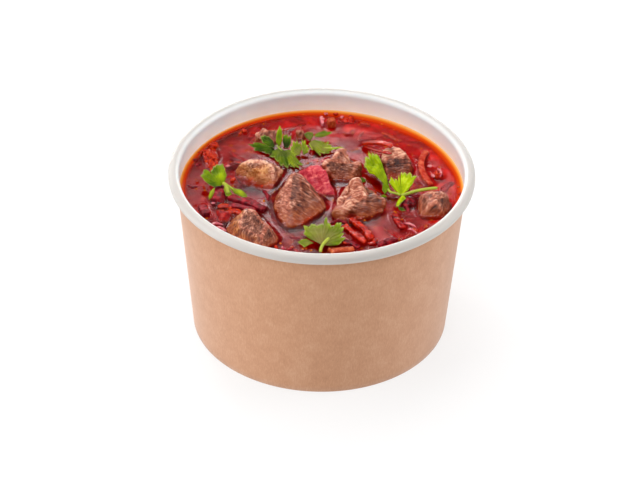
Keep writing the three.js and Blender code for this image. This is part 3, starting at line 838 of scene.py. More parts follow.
BEETROOT = boiled_vegetable("beetroot", "#3E040E", "#7C0A18", "#AE2630", 2.0, soft=0.3)
PALE_BEETROOT = boiled_vegetable("pale_beetroot", "#A0162C", "#C63846", "#E6726C", 1.7)
TOMATO = boiled_vegetable("tomato", "#6C0400", "#B41C02", "#DE4C16", 1.1)
PEPPER = boiled_vegetable("red_pepper", "#6C0200", "#A81000", "#D83406", 2.0, wet=0.8)
DARK_PEPPER = boiled_vegetable("dark_red_pepper", "#500408", "#8E0A10", "#C02A1C", 2.0)
CARROT = boiled_vegetable("carrot", "#942808", "#B04420", "#CC6E44", 1.6)
RED_CARROT = boiled_vegetable("red_stained_carrot", "#9E1A0E", "#BC341A", "#D46440", 2.2)
ONION = boiled_vegetable("onion", "#B03A4C", "#D47078", "#F0B4B0", 2.0)

# Each piece: its CAD node, slot and material, then its bevel, and its relief's height and size.
for node, slot, material, bevel, relief, size in (
    ("beet_wedge", "beet", PALE_BEETROOT, 0.6, 0.5, 3.0),
    ("tomato_left", "tomato", TOMATO, 0.7, 1.3, 1.5),
    ("beet_slab_left", "beet", BEETROOT, 0.6, 0.5, 3.0),
    ("pepper_left", "pepper", DARK_PEPPER, 0.6, 0.5, 3.0),
    ("beet_cube_right", "beet", BEETROOT, 0.5, 0.6, 2.0),
    ("tomato_right", "tomato", TOMATO, 0.5, 0.9, 1.2),
    ("tomato_back", "tomato", TOMATO, 0.5, 1.0, 1.4),
    ("beet_strip_left_a", "beet", BEETROOT, 0.4, 0.4, 2.8),
    ("beet_strip_left_b", "beet", BEETROOT, 0.4, 0.4, 2.8),
    ("beet_end_left", "beet", BEETROOT, 0.6, 0.4, 2.8),
    ("pepper_front_a", "pepper", PEPPER, 0.5, 0.7, 3.2),
    ("pepper_front_b", "pepper", PEPPER, 0.5, 0.7, 3.2),
    ("pepper_back", "pepper", PEPPER, 0.25, 0.2, 2.0),
    ("pepper_right", "pepper", DARK_PEPPER, 0.35, 0.25, 2.0),
    ("carrot_curl", "carrot", RED_CARROT, 0.4, 0.3, 2.0),
    ("carrot_front", "carrot", CARROT, 0.4, 0.25, 2.0),
    ("carrot_back", "carrot", CARROT, 0.9, 0.5, 1.4),
    ("beet_front", "beet", BEETROOT, 0.3, 0.2, 1.6),
    ("beet_rim", "beet", BEETROOT, 0.4, 0.5, 1.2),
    ("onion_back", "onion", ONION, 0.3, 0.2, 1.6),
):
    vegetable(node, material, bevel, relief, size)


# ----------------------------------------
# Shreds: beetroot, cabbage and carrot grated or cut fine, which hang in the broth just under its
# surface and lie over one another. Some come up through it, with scraps of pulp among them.

SHRED_STEPS = 12
SHRED_SIDES = 8
SHRED_LENGTH = (6, 20)
SHRED_BEND = 0.35  # of the length, to either side
SHRED_TILT = 0.08
SHRED_THICKNESS = 0.55
SHRED_SPREAD = 50
SHRED_MARGIN = 1.5  # kept from the wall, in mm
SUNK_BEETROOT = boiled_vegetable("sunk_beetroot", "#7A0A18", "#A01A28", "#C84248", 1.6)
# Each kind that hangs in the broth: slot, material, count, range of widths and of depths in mm.
SHREDS = {
    "beetroot_shreds": ("beet", SUNK_BEETROOT, 34, (1.4, 2.8), (1.8, 4.4)),
    "cabbage_shreds": ("onion", ONION, 10, (1.2, 2.4), (2.2, 4.4)),
    "carrot_shreds": ("carrot", CARROT, 14, (1.0, 2.0), (1.6, 3.8)),
}
SURFACE_THICKNESS = 0.5
PULP_STEPS = 3
PULP_THICKNESS = 0.36  # of its width
PULP_UNEVENNESS = (0.55, 1.6)  # share, and how fine
# Each shred at the surface: its half width, then its points in mm, heights from the broth.
SURFACE_SHREDS = {
    "beetroot": [
        (0.8, [(-32.7, -8.8, 0.2), (-27.3, -10.0, 0.4), (-22.6, -13.9, 0.2)]),
        (0.7, [(-31.8, -12.0, 0.1), (-27.2, -12.5, 0.3), (-23.7, -15.7, 0.1)]),
        (0.5, [(-51.9, 0.1, -0.2), (-49.9, -1.9, 0.0), (-47.6, -1.1, -0.2)]),
        (0.7, [(3.4, -25.0, 0.2), (6.8, -23.0, 0.4), (10.2, -24.2, 0.1)]),
        (0.8, [(30.1, -8.0, -0.1), (32.4, -12.0, 0.2), (33.4, -16.7, -0.1)]),
        (0.7, [(-22.5, -2.9, 0.1), (-20.9, -6.3, 0.3), (-20.4, -10.3, 0.1)]),
        (0.7, [(-12.3, -33.6, -0.5), (-8.5, -34.8, -0.2), (-5.5, -37.9, -0.5)]),
    ],
    "tomato": [
        (1.5, [(-39.8, -14.6, 0.0), (-36.1, -14.0, 0.2), (-32.9, -15.4, -0.1)]),
        (1.5, [(-36.2, -18.2, 0.0), (-32.4, -17.5, 0.3), (-29.3, -20.0, 0.0)]),
        (0.7, [(22.6, -36.9, 0.2), (25.6, -35.5, 0.4), (29.0, -34.1, 0.2)]),
    ],
    "pepper": [
        (1.0, [(17.6, -37.6, 0.3), (20.2, -36.8, 0.6), (21.2, -34.2, 0.4)]),
        (1.1, [(16.3, 29.2, 0.3), (19.2, 25.0, 1.7), (22.3, 20.3, 3.7), (24.9, 16.7, 5.4),
               (27.4, 15.0, 5.9)]),
    ],
    "carrot": [
        (1.0, [(14.6, 46.4, -0.9), (16.6, 46.5, -0.7), (19.0, 45.1, -0.9)]),
        (1.2, [(23.8, 40.5, -1.2), (26.9, 37.7, -1.0), (30.8, 33.5, -1.2)]),
    ],
    "onion": [
        (0.6, [(-42.4, -30.9, 0.2), (-40.4, -26.3, 0.4), (-36.6, -26.8, 0.1)]),
        (0.6, [(-41.2, -32.0, 0.1), (-38.8, -28.7, 0.3), (-35.3, -30.6, 0.0)]),
        (0.5, [(31.0, -23.6, 0.0), (33.6, -24.2, 0.2), (36.2, -26.4, 0.0)]),
        (0.4, [(32.6, -27.4, -0.1), (34.4, -28.0, 0.2), (36.6, -30.2, -0.1)]),
        (0.5, [(5.7, -37.3, 0.1), (8.7, -35.3, 0.3), (12.1, -37.1, 0.1)]),
        (0.5, [(44.9, 13.9, 0.1), (46.4, 11.2, 0.4), (45.9, 7.7, 0.1)]),
    ],
}
# Each scrap: its middle in mm, its height from the broth, its length and its width.
SCRAPS = {
    "beetroot": [
        (-48.7, 13.8, 0.0, 2.2, 1.6), (-49.6, 17.1, -0.1, 2.4, 1.7), (-35.2, 17.4, 0.2, 1.8, 1.3),
        (-11.4, -41.6, 0.2, 2.4, 1.3), (27.1, -35.1, 0.4, 1.8, 1.1), (-20.5, -7.1, 0.2, 2.0, 1.4),
        (35.9, -5.2, 0.0, 2.4, 1.6), (33.3, -1.5, 0.2, 1.6, 1.2), (-28.6, -15.5, 0.3, 2.0, 1.2),
    ],
    "tomato": [
        (-42.8, 27.0, 0.1, 4.6, 3.4), (-45.0, 22.4, 0.2, 3.4, 3.0), (-42.2, 12.8, 0.3, 5.2, 3.4),
        (-34.3, 3.3, 0.3, 2.6, 1.7), (-48.1, 1.5, 0.3, 1.4, 1.0), (-45.3, -1.7, 0.2, 1.5, 1.0),
        (-47.8, 22.2, 0.0, 2.2, 1.4), (-31.2, 38.1, 0.3, 2.6, 2.0), (-32.7, 36.2, 0.1, 1.8, 1.4),
        (5.3, 51.4, 0.4, 2.0, 1.5), (11.4, 49.8, 0.2, 2.4, 1.8), (36.2, -28.9, 0.3, 1.8, 1.2),
        (53.3, -3.6, 0.2, 1.6, 1.2), (-16.6, -40.6, 0.3, 2.4, 1.2), (23.7, -37.1, 0.4, 1.6, 1.0),
        (-23.0, -0.3, 0.2, 1.3, 1.0), (-8.2, 41.3, 0.1, 1.3, 1.0), (-37.7, -18.2, 0.6, 1.8, 1.3),
        (-34.7, -16.2, 0.7, 1.6, 1.2), (9.1, -37.6, 0.5, 2.0, 1.3),
    ],
    "pepper": [(20.0, -35.8, 0.6, 2.0, 1.5)],
    "carrot": [
        (39.6, -26.1, 0.7, 1.8, 1.3), (52.7, 1.1, 0.2, 1.2, 1.0), (3.5, -42.3, 0.5, 2.2, 1.4),
        (29.3, -34.4, 0.4, 1.3, 0.9),
    ],
    "onion": [
        (-36.6, 13.4, 0.0, 2.0, 1.2), (7.7, 49.1, 0.5, 1.6, 1.3), (1.3, 51.4, 0.5, 1.6, 1.3),
        (0.1, 47.4, 0.5, 1.5, 1.2), (-14.0, -41.2, 0.3, 1.8, 1.2), (0.5, -40.6, 0.6, 1.4, 1.1),
        (43.2, 8.0, 0.5, 1.8, 1.2), (42.2, 15.1, 0.4, 1.6, 1.2), (-41.3, -12.7, 0.4, 1.4, 1.1),
    ],
}


def curve_through(points, count):
    """As many steps as the count along a smooth curve through some points, as a list of places."""
    ends = [2 * points[0] - points[1], *points, 2 * points[-1] - points[-2]]
    places = []
    for i in range(count + 1):
        t = i * (len(points) - 1) / count
        k = min(int(t), len(points) - 2)
        t -= k
        a, b, c, d = ends[k : k + 4]
        squared = 2 * a - 5 * b + 4 * c - d
        cubed = 3 * b - a - 3 * c + d
        places.append(0.5 * (2 * b + (c - a) * t + squared * t**2 + cubed * t**3))
    return places


def add_tube(bm, places, half_width, half_thickness, sides, blunt=0.12):
    """Adds a closed tube along places in mm: an oval section with rounded ends. A sheet of squares
    is wrapped round the line, and its seam and its two ends are welded."""
    count = len(places) - 1
    sheet = bmesh.ops.create_grid(bm, x_segments=sides, y_segments=count, size=0.5)["verts"]
    for vert in sheet:
        around = (vert.co.x + 0.5) * math.tau
        t = vert.co.y + 0.5
        i = min(round(t * count), count)
        ahead = (places[min(i + 1, count)] - places[max(i - 1, 0)]).normalized()
        side = ahead.cross(Vector((0, 0, 1))).normalized()
        up = side.cross(ahead)
        to_end = min(t, 1 - t) / blunt
        swell = math.sqrt(max(0, 1 - (1 - min(1, to_end)) ** 2))
        offset = side * math.cos(around) * half_width + up * math.sin(around) * half_thickness
        vert.co = (places[i] + offset * swell) * MM
    bmesh.ops.remove_doubles(bm, verts=sheet, dist=0.004 * MM)


def shreds(name, material, count, widths, depths):
    """Curved shreds at random, none of them through a piece that floats."""
    rng = random.Random(name)
    bm = bmesh.new()
    made = 0
    while made < count:
        length = rng.uniform(*SHRED_LENGTH)
        heading = rng.uniform(0, math.tau)
        radius = SHRED_SPREAD * math.sqrt(rng.random())
        around = rng.uniform(0, math.tau)
        depth = rng.uniform(*depths)
        bend = rng.uniform(-SHRED_BEND, SHRED_BEND) * length
        x, y = radius * math.cos(around), radius * math.sin(around)
        middle = Vector((x, y, BROTH_LEVEL - depth))
        tilt = rng.uniform(-SHRED_TILT, SHRED_TILT)
        run = Vector((math.cos(heading), math.sin(heading), tilt))
        side = Vector((-run.y, run.x, 0))
        half_width = 0.5 * rng.uniform(*widths)
        points = [middle - run * length / 2, middle + side * bend, middle + run * length / 2]
        if any(p.xy.length > INSIDE_RADIUS - SHRED_MARGIN for p in points):
            continue
        places = curve_through(points, SHRED_STEPS)
        gaps = (gap_to(tree, p.x, p.y) for p in places for tree in (beef_tree, low_tree))
        if min(gaps) < 1.2 * half_width:
            continue
        add_tube(bm, places, half_width, min(half_width, SHRED_THICKNESS), SHRED_SIDES)
        made += 1
    bmesh.ops.recalc_face_normals(bm, faces=bm.faces)
    new_piece(name, bm, [material])


def add_scrap(bm, x, y, height, length, width, seed):
    """Adds a scrap of pulp: a flattened ball, made uneven and turned at random."""
    turn = Matrix.Rotation(noise.noise(Vector((x, y, seed))) * math.tau, 4, "Z")
    size = Matrix.Diagonal((0.5 * length, 0.5 * width, PULP_THICKNESS * width, 1))
    ball = bmesh.ops.create_icosphere(bm, subdivisions=PULP_STEPS, radius=1.0)["verts"]
    for vert in ball:
        bump = noise.noise(vert.co * PULP_UNEVENNESS[1] + Vector((x, y, 0)))
        uneven = turn @ size @ (vert.co * (1 + PULP_UNEVENNESS[0] * bump))
        vert.co = (Vector((x, y, BROTH_LEVEL + height)) + uneven) * MM


def surface_bits(kind, material):
    """All the shreds and scraps of one kind that come up through the broth."""
    bm = bmesh.new()
    for half_width, points in SURFACE_SHREDS[kind]:
        points = [Vector((x, y, BROTH_LEVEL + z)) for x, y, z in points]
        places = curve_through(points, SHRED_STEPS)
        add_tube(bm, places, half_width, SURFACE_THICKNESS, SHRED_SIDES, blunt=0.3)
    for i, scrap in enumerate(SCRAPS[kind]):
        add_scrap(bm, *scrap, i)
    bmesh.ops.recalc_face_normals(bm, faces=bm.faces)
    new_piece(f"{kind}_at_surface", bm, [material])


for name, (slot, material, count, widths, depths) in SHREDS.items():
    shreds(name, material, count, widths, depths)

for kind, slot, material in (
    ("beetroot", "beet", BEETROOT),
    ("tomato", "tomato", TOMATO),
    ("pepper", "pepper", PEPPER),
    ("carrot", "carrot", CARROT),
    ("onion", "onion", ONION),
):
    surface_bits(kind, material)


# ----------------------------------------
# The parsley: sprigs of flat-leaved parsley laid on last. Each blade opens like a fan from its
# stalk to the tips of its lobes, is folded along their veins, and is thin enough to glow.

LEAF_THICKNESS = 0.2
LEAF_ROWS = 12
LEAF_FLOAT = 0.25  # the least height of a blade over the broth
LOBE_STEPS = 6
TEETH_DEPTH = 0.035
LEAF_RIPPLE = (0.1, 0.3)  # height to length, and how fine
PALE_RIM = (0.97, 0.5)  # from this share of the way to the tips, and how pale
VEIN = (2.5, 0.1)  # how narrow and how pale
LEAF_PATCHES = (0.34, 0.28)  # lighter and darker by this, and how fine
DULL_PATCHES = (0.6, 0.16)  # share that is dull, and how fine
STEM_STEPS = 18
STEM_SIDES = 10
STEM_TONE = 0.7
STEM_PALENESS = 0.3
# Each sprig's stems, with a radius and points in mm, and its blades, with a base, how light they
# are there and at the tips, how far the rim comes in between two tips, the tips, and what is
# special to a blade. Heights are over the broth.
STEMS = {
    "parsley_right": [
        (0.62, [(44.6, -9.3, 6.8), (40.2, -8.0, 5.2), (35.9, -6.9, 3.4), (32.6, -7.0, 2.2),
         (30.4, -7.5, 1.8)]),
        (0.5, [(30.4, -7.5, 1.8), (28.3, -5.8, 1.6), (26.5, -5.2, 1.6), (25.6, -3.2, 1.9)]),
    ],
    "parsley_left": [
        (0.7, [(-38.0, -3.8, 3.6), (-36.9, -4.6, 3.4), (-36.2, -6.2, 2.6), (-35.6, -8.0, 1.6)]),
        (0.4, [(-37.2, -3.6, 3.4), (-35.8, -4.2, 2.7), (-33.8, -5.8, 2.0)]),
    ],
    "parsley_front": [
        (0.62, [(-0.2, -44.4, 0.9), (0.4, -41.8, 1.6), (1.4, -40.0, 2.1), (3.2, -37.2, 2.5)]),
        (0.4, [(0.6, -40.8, 1.7), (0.6, -39.0, 2.0), (0.9, -36.4, 2.3)]),
    ],
    "parsley_back": [
        (0.45, [(0.0, 25.2, 1.3), (4.4, 25.2, 1.2), (6.9, 25.4, 1.3), (8.8, 24.9, 1.0)]),
        (0.25, [(-18.1, 25.1, 2.4), (-16.8, 23.4, 2.1), (-15.8, 22.1, 1.9)]),
        (0.22, [(-5.3, 27.3, 1.9), (-4.4, 25.4, 1.7), (-3.7, 23.7, 1.2)]),
    ],
}
BLADES = {
    "parsley_right": [
        ((26.1, -4.1, 1.7), 0.52, 0.68, 0.02, [(21.7, 3.7, 2.0), (17.6, 8.4, 2.0), (16.2, 11.8, 2.5),
         (16.6, 15.7, 3.5), (18.0, 16.6, 4.8), (19.3, 16.1, 6.6), (21.0, 15.7, 6.7),
         (22.6, 11.8, 6.0), (23.9, 6.1, 4.6), (25.0, 0.8, 2.9)], dict(notches=(0, 0, 0.02, 0.09, 0.12,
         0.04, 0.1, 0.04))),
        ((25.6, -3.6, 1.5), 0.5, 0.4, 0.05, [(24.3, -5.2, 0.7), (23.3, -2.8, 0.9), (23.4, 0.4, 2.0),
         (24.4, 0.4, 2.4)], {}),
        ((30.6, -7.6, 1.9), 0.86, 0.66, 0.05, [(28.1, -5.0, 2.2), (25.7, -1.2, 3.6), (26.5, 0.6, 4.8),
         (28.2, -0.3, 4.6), (29.7, 1.3, 5.4), (30.5, 2.2, 5.7), (32.0, 2.3, 5.9), (34.0, 2.2, 5.8),
         (36.8, 1.6, 5.4), (34.8, -3.4, 4.2), (33.3, -5.6, 2.8)], dict(fold=0.02, notches=(0.02, 0.05,
         0.3, 0.22, 0.5, 0.07, 0.08, 0.12, 0.06))),
        ((31.2, -7.2, 1.9), 0.84, 0.6, 0.08, [(29.6, -9.9, 1.5), (28.5, -12.6, 1.2),
         (28.3, -14.4, 1.0), (29.4, -14.2, 0.9), (30.8, -11.4, 1.2), (32.4, -9.2, 1.6)], {}),
        ((29.1, -13.7, 0.9), 0.2, 0.3, 0.1, [(29.6, -15.4, 0.6), (30.8, -16.1, 0.5),
         (32.2, -15.6, 0.4), (31.2, -14.2, 0.6)], {}),
        ((16.8, 3.2, 0.5), 0.25, 0.12, 0.15, [(15.2, 3.0, 0.4), (14.0, 4.4, 0.5), (15.4, 6.0, 0.8),
         (17.2, 4.8, 0.6)], {}),
        ((25.2, -7.0, 0.6), 0.3, 0.16, 0.15, [(23.6, -7.6, 0.4), (22.4, -6.4, 0.5),
         (23.8, -5.8, 0.8)], {}),
    ],
    "parsley_left": [
        ((-38.6, -5.0, 3.2), 0.42, 0.36, 0.03, [(-41.3, -5.2, 3.0), (-43.2, -4.1, 3.0),
         (-45.3, -2.4, 3.4), (-46.9, 0.0, 4.6), (-45.7, 3.8, 5.4), (-42.6, 2.8, 5.2),
         (-42.0, 4.4, 5.8), (-40.6, 5.3, 6.4), (-38.3, 5.8, 6.6), (-37.5, 3.1, 6.0),
         (-36.5, 0.0, 4.8), (-37.1, -2.9, 3.8)], dict(notches=(0, 0, 0.02, 0.06, 0.42, 0.04, 0.05,
         0.03, 0.03))),
        ((-37.1, -2.8, 3.6), 0.46, 0.6, 0.1, [(-37.4, -6.4, 2.4), (-36.6, -8.7, 1.2),
         (-35.1, -9.6, 0.9), (-33.9, -8.4, 1.0), (-35.0, -5.7, 2.2)], dict(dull=0.3)),
        ((-36.0, -4.0, 2.6), 0.74, 0.4, 0.03, [(-33.3, -7.2, 1.2), (-31.4, -8.6, 0.9),
         (-29.8, -9.3, 0.7), (-28.1, -8.6, 0.6), (-28.4, -7.1, 0.9), (-31.0, -6.0, 1.5)],
         dict(dull=1.2)),
        ((-41.0, -5.6, 2.8), 0.9, 0.7, 0.06, [(-42.8, -6.9, 1.6), (-43.3, -9.0, 0.9),
         (-43.0, -10.8, 0.5), (-42.0, -9.6, 0.6), (-41.0, -7.2, 1.8)], dict(dull=1.2)),
    ],
    "parsley_front": [
        ((0.4, -40.8, 1.5), 0.4, 0.56, 0.05, [(-2.6, -37.4, 1.3), (-5.1, -35.6, 1.5),
         (-6.5, -33.9, 1.8), (-6.6, -29.8, 2.2), (-3.6, -28.6, 2.6), (0.2, -28.6, 2.9),
         (2.0, -25.4, 3.7), (3.4, -29.0, 3.1), (4.8, -30.0, 2.8), (6.2, -28.6, 3.1),
         (7.7, -28.8, 2.9), (8.7, -30.9, 2.5), (8.7, -33.8, 2.0), (9.4, -36.1, 1.5),
         (7.1, -39.2, 1.0), (3.6, -40.1, 1.0)], dict(dull=1.1, notches=(0.0, 0.04, 0.1, 0.05, 0.08,
         0.16, 0.1, 0.1, 0.16, 0.05, 0.12, 0.22, 0.3, 0.05, 0.03))),
        ((-2.6, -38.7, 0.9), 0.4, 0.5, 0.04, [(-4.6, -40.0, 0.7), (-6.1, -41.0, 0.5),
         (-8.1, -38.6, 0.8), (-8.8, -37.8, 1.0), (-7.3, -36.8, 1.3), (-5.5, -36.6, 1.4)],
         dict(dull=0.8)),
    ],
    "parsley_back": [
        ((-18.7, 24.5, 1.6), 0.06, 0.2, 0.03, [(-21.6, 25.6, 1.5), (-23.6, 27.6, 1.8),
         (-24.6, 30.7, 2.4), (-23.0, 31.1, 3.0), (-21.2, 30.2, 3.2), (-19.4, 28.1, 2.8)], {}),
        ((-18.3, 23.0, 1.4), 0.14, 0.1, 0.16, [(-20.6, 20.6, 1.0), (-22.4, 21.6, 0.8),
         (-24.2, 23.4, 0.7), (-26.8, 23.6, 0.5), (-29.3, 27.3, 0.9), (-27.2, 28.0, 1.2),
         (-23.5, 26.3, 1.8), (-19.9, 24.6, 2.0)], {}),
        ((-16.9, 24.7, 1.8), 0.4, 0.62, 0.02, [(-18.2, 26.4, 2.8), (-18.3, 27.7, 4.6),
         (-17.9, 29.3, 6.2), (-16.9, 31.2, 7.9), (-16.0, 29.9, 6.8), (-15.7, 28.3, 5.2),
         (-16.0, 26.2, 3.0)], dict(bulge=0.03)),
        ((-14.8, 24.1, 1.6), 0.0, 0.34, 0.04, [(-15.7, 27.5, 2.8), (-15.4, 29.0, 4.6),
         (-14.2, 29.4, 4.9), (-12.3, 28.3, 4.5), (-12.2, 26.0, 3.2), (-13.2, 24.3, 1.8)],
         dict(notches=(0.04, 0.03, 0.16))),
        ((-16.6, 24.1, 1.7), 0.18, 0.34, 0.16, [(-19.8, 22.3, 1.2), (-20.6, 19.7, 0.9),
         (-17.6, 16.0, 0.9), (-16.2, 13.4, 0.7), (-13.4, 11.5, 0.6), (-11.0, 12.6, 0.6),
         (-10.8, 15.4, 0.9), (-11.3, 18.4, 1.2)], dict(dull=0.3, fold=0.02)),
        ((-14.8, 22.8, 1.6), 0.24, 0.54, 0.22, [(-12.8, 13.4, 0.7), (-10.6, 11.2, 0.5),
         (-8.7, 11.7, 0.5), (-7.1, 13.9, 0.6), (-9.6, 17.0, 1.0), (-10.6, 19.9, 1.3),
         (-12.0, 22.9, 1.6)], dict(dull=0.5, fold=0.02)),
        ((-8.7, 20.1, 1.2), 0.36, 0.72, 0.14, [(-10.6, 19.6, 1.2), (-12.3, 21.6, 1.9),
         (-12.7, 23.9, 2.6), (-11.5, 26.2, 3.7), (-10.0, 26.6, 4.0), (-8.7, 25.7, 3.6),
         (-8.0, 23.3, 2.4)], dict(dull=0.6, fold=0.07)),
        ((-7.2, 20.6, 1.2), 0.4, 0.78, 0.16, [(-8.0, 22.9, 2.0), (-8.4, 25.1, 3.0), (-8.1, 26.9, 3.9),
         (-6.7, 26.9, 3.9), (-5.9, 24.6, 3.0), (-4.9, 23.6, 2.4), (-5.6, 21.7, 1.5)], dict(dull=0.6,
         fold=0.07)),
        ((-4.9, 30.1, 1.3), 0.2, 0.3, 0.03, [(-6.5, 32.2, 1.4), (-7.4, 34.5, 2.0), (-6.0, 35.5, 2.2),
         (-3.7, 35.1, 2.1), (-3.4, 33.3, 1.7), (-4.2, 31.4, 1.4)], dict(dull=0.7)),
        ((-2.9, 32.5, 1.3), 0.3, 0.36, 0.06, [(-2.9, 34.1, 2.0), (-1.2, 35.2, 2.5), (0.7, 35.8, 2.8),
         (4.1, 35.0, 2.9), (3.5, 33.9, 2.3), (1.8, 33.2, 1.8), (-0.1, 32.6, 1.4)], dict(dull=0.3)),
        ((-5.2, 28.1, 1.6), 0.4, 0.5, 0.07, [(-4.2, 29.2, 2.0), (-2.6, 29.8, 2.2), (-0.2, 29.3, 2.2),
         (0.8, 27.0, 1.8), (2.0, 24.7, 1.3), (1.2, 22.1, 0.9), (-0.5, 20.4, 0.7), (-2.4, 23.0, 0.9),
         (-4.3, 25.9, 1.2)], dict(dull=1.0, notches=(0.05, 0.05, 0.05, 0.07, 0.1, 0.24, 0.1, 0.06))),
        ((-0.2, 24.4, 1.3), 0.55, 0.62, 0.28, [(0.3, 28.9, 2.2), (2.7, 29.4, 2.2), (3.7, 27.2, 1.7),
         (4.9, 24.8, 1.1), (2.7, 22.6, 0.8), (0.8, 21.8, 0.8)], dict(dull=0.9, fold=0.07)),
        ((5.0, 25.2, 1.3), 0.2, 0.24, 0.03, [(6.2, 26.2, 1.3), (7.8, 26.2, 1.3), (9.3, 24.8, 0.9),
         (8.2, 23.8, 0.7), (6.4, 24.0, 0.8)], dict(dull=0.6)),
    ],
}


def parsley_material():
    """Fresh leaves: satin, yellow-green to dark green from leaf to leaf, pale veins and rims."""
    material, tree = new_material("parsley_leaf")
    tone, vein, dull = (
        add_node(tree, "Attribute", attribute_name=name).outputs["Fac"]
        for name in ("tone", "vein", "dull")
    )
    mottle = grain(tree, 1.3, Detail=4.0, Roughness=0.65)
    mottled = add_node(tree, "Math", {0: mottle, 1: 0.5, 2: tone}, operation="MULTIPLY_ADD")
    spread = add_node(tree, "MapRange", {"Value": mottled, "From Min": 0.15, "From Max": 1.35})
    fresh = add_node(tree, "ValToRGB", {"Fac": spread}, [
        (0.0, "#182804"), (1.0, "#D8E83C"), (0.28, "#3E5A06"), (0.52, "#748A00"),
        (0.78, "#A6BA00"),
    ])
    blade = add_node(tree, "Mix", {0: dull, 6: fresh, 7: "#7E6E3E"}, data_type="RGBA").outputs[2]
    colour = add_node(tree, "Mix", {0: vein, 6: blade, 7: "#D2D07C"}, data_type="RGBA").outputs[2]
    bump = add_node(tree, "Bump", {"Height": mottle, "Strength": 0.6, "Distance": 0.35 * MM})
    surface = add_node(tree, "BsdfPrincipled", {
        "Base Color": colour, "Normal": bump, "Roughness": 0.52, "IOR": 1.12,
        "Subsurface Weight": 0.25, "Subsurface Radius": (0.5, 1.0, 0.1),
        "Subsurface Scale": 0.5 * MM,
    })
    add_node(tree, "OutputMaterial", {"Surface": surface})
    return material


def add_leaf(
    bm, base, tone, tip_tone, notch, tips, dull=0.0, notches=(), fold=0.01, bulge=0.06
):
    """Adds a blade that fans out from its base to its lobes' tips. Between two tips its rim comes
    back towards the base by the share notch, or by the share in notches for that gap. A dull
    blade is brownish towards its base."""
    start = Vector(base) + Vector((0, 0, BROTH_LEVEL))
    runs = [Vector(tip) - Vector(base) for tip in tips]
    gaps = len(runs) - 1
    columns = gaps * LOBE_STEPS
    vein, shade, dullness = (bm.verts.layers.float[name] for name in ("vein", "tone", "dull"))
    seed = Vector(base)
    sheet = bmesh.ops.create_grid(bm, x_segments=columns, y_segments=LEAF_ROWS, size=0.5)["verts"]
    for vert in sheet:
        column = round((vert.co.x + 0.5) * columns)
        t = vert.co.y + 0.5
        gap = min(column // LOBE_STEPS, gaps - 1)
        f = column / LOBE_STEPS - gap
        between = 1 - abs(2 * f - 1)
        depth = notches[gap] if gap < len(notches) else notch
        tooth = TEETH_DEPTH * (column % 2) * (0 < column < columns)
        run = runs[gap].lerp(runs[gap + 1], f) * (1 - depth * between**2.2 - tooth)
        lift = bulge * math.sin(math.pi * t) - fold * between * t
        ripple = LEAF_RIPPLE[0] * noise.noise(run * LEAF_RIPPLE[1] * t + seed)
        place = start + run * t + Vector((0, 0, (lift + ripple) * run.length))
        place.z = max(place.z, BROTH_LEVEL + LEAF_FLOAT)
        vert.co = place * MM
        line = max(0, 1 - VEIN[0] * between) * min(1, 4 * t) * (1 - 0.5 * t)
        vert[vein] = max(VEIN[1] * line, PALE_RIM[1] if t > PALE_RIM[0] else 0)
        patch = noise.noise(LEAF_PATCHES[1] * run * t + seed)
        vert[shade] = tone + (tip_tone - tone) * t * t + LEAF_PATCHES[0] * patch
        dull_patch = DULL_PATCHES[0] + noise.noise(run * DULL_PATCHES[1] * t + seed)
        vert[dullness] = dull * max(0, (1 - t**3) * dull_patch)
    bmesh.ops.remove_doubles(bm, verts=sheet, dist=0.004 * MM)


def parsley_sprig(node, stems, leaves):
    """A sprig: its blades, given their thickness, and its stems."""
    bm = bmesh.new()
    for name in ("vein", "tone", "dull"):
        bm.verts.layers.float.new(name)
    for *leaf, special in leaves:
        add_leaf(bm, *leaf, **special)
    bmesh.ops.recalc_face_normals(bm, faces=bm.faces)
    bm.normal_update()
    inwards = bm.verts.layers.float_vector.new("inwards")
    for vert in bm.verts:
        vert[inwards] = -LEAF_THICKNESS * MM * vert.normal
    far_side = bmesh.ops.extrude_face_region(bm, geom=bm.faces[:], use_keep_orig=True)["geom"]
    for vert in [g for g in far_side if isinstance(g, bmesh.types.BMVert)]:
        vert.co += vert[inwards]
    bm.verts.layers.float_vector.remove(inwards)
    vein, tone = (bm.verts.layers.float[name] for name in ("vein", "tone"))
    blades = set(bm.verts)
    for radius, stem in stems:
        points = [Vector(p) + Vector((0, 0, BROTH_LEVEL)) for p in stem]
        places = curve_through(points, STEM_STEPS)
        add_tube(bm, places, radius, radius, STEM_SIDES, blunt=0.04)
    for vert in bm.verts:
        if vert not in blades:
            vert[tone] = STEM_TONE
            vert[vein] = STEM_PALENESS
    bmesh.ops.recalc_face_normals(bm, faces=bm.faces)
    new_piece(f"{node}_sprig", bm, [PARSLEY], [node])


PARSLEY = parsley_material()
for node in STEMS:
    parsley_sprig(node, STEMS[node], BLADES[node])


# ----------------------------------------
# Stage: a pale floor, soft light and the camera. None of these is part of the object.

FLOOR_SIZE = 6
CAMERA_PLACE = Vector((0, -0.81255, 0.61583))
CAMERA_TARGET = Vector((0, 0, 0.03493))
CAMERA_ROLL = math.radians(0.92)
CAMERA_LENS = 143.4
PICTURE_WIDTH = 640
PICTURE_MIDDLE = (320, 240)
SIGHT_LINE = (320.68, 241.85)
LIT_POINT = Vector((0, 0, 0.05))
ROOM_GLOW = 0.4
MIRRORED_GLOW = 0.09
SEEN_GLOW = 0.95
WHITE_LIGHT = "#FFFFFF"
ROSE_LIGHT = "#FFF3F6"
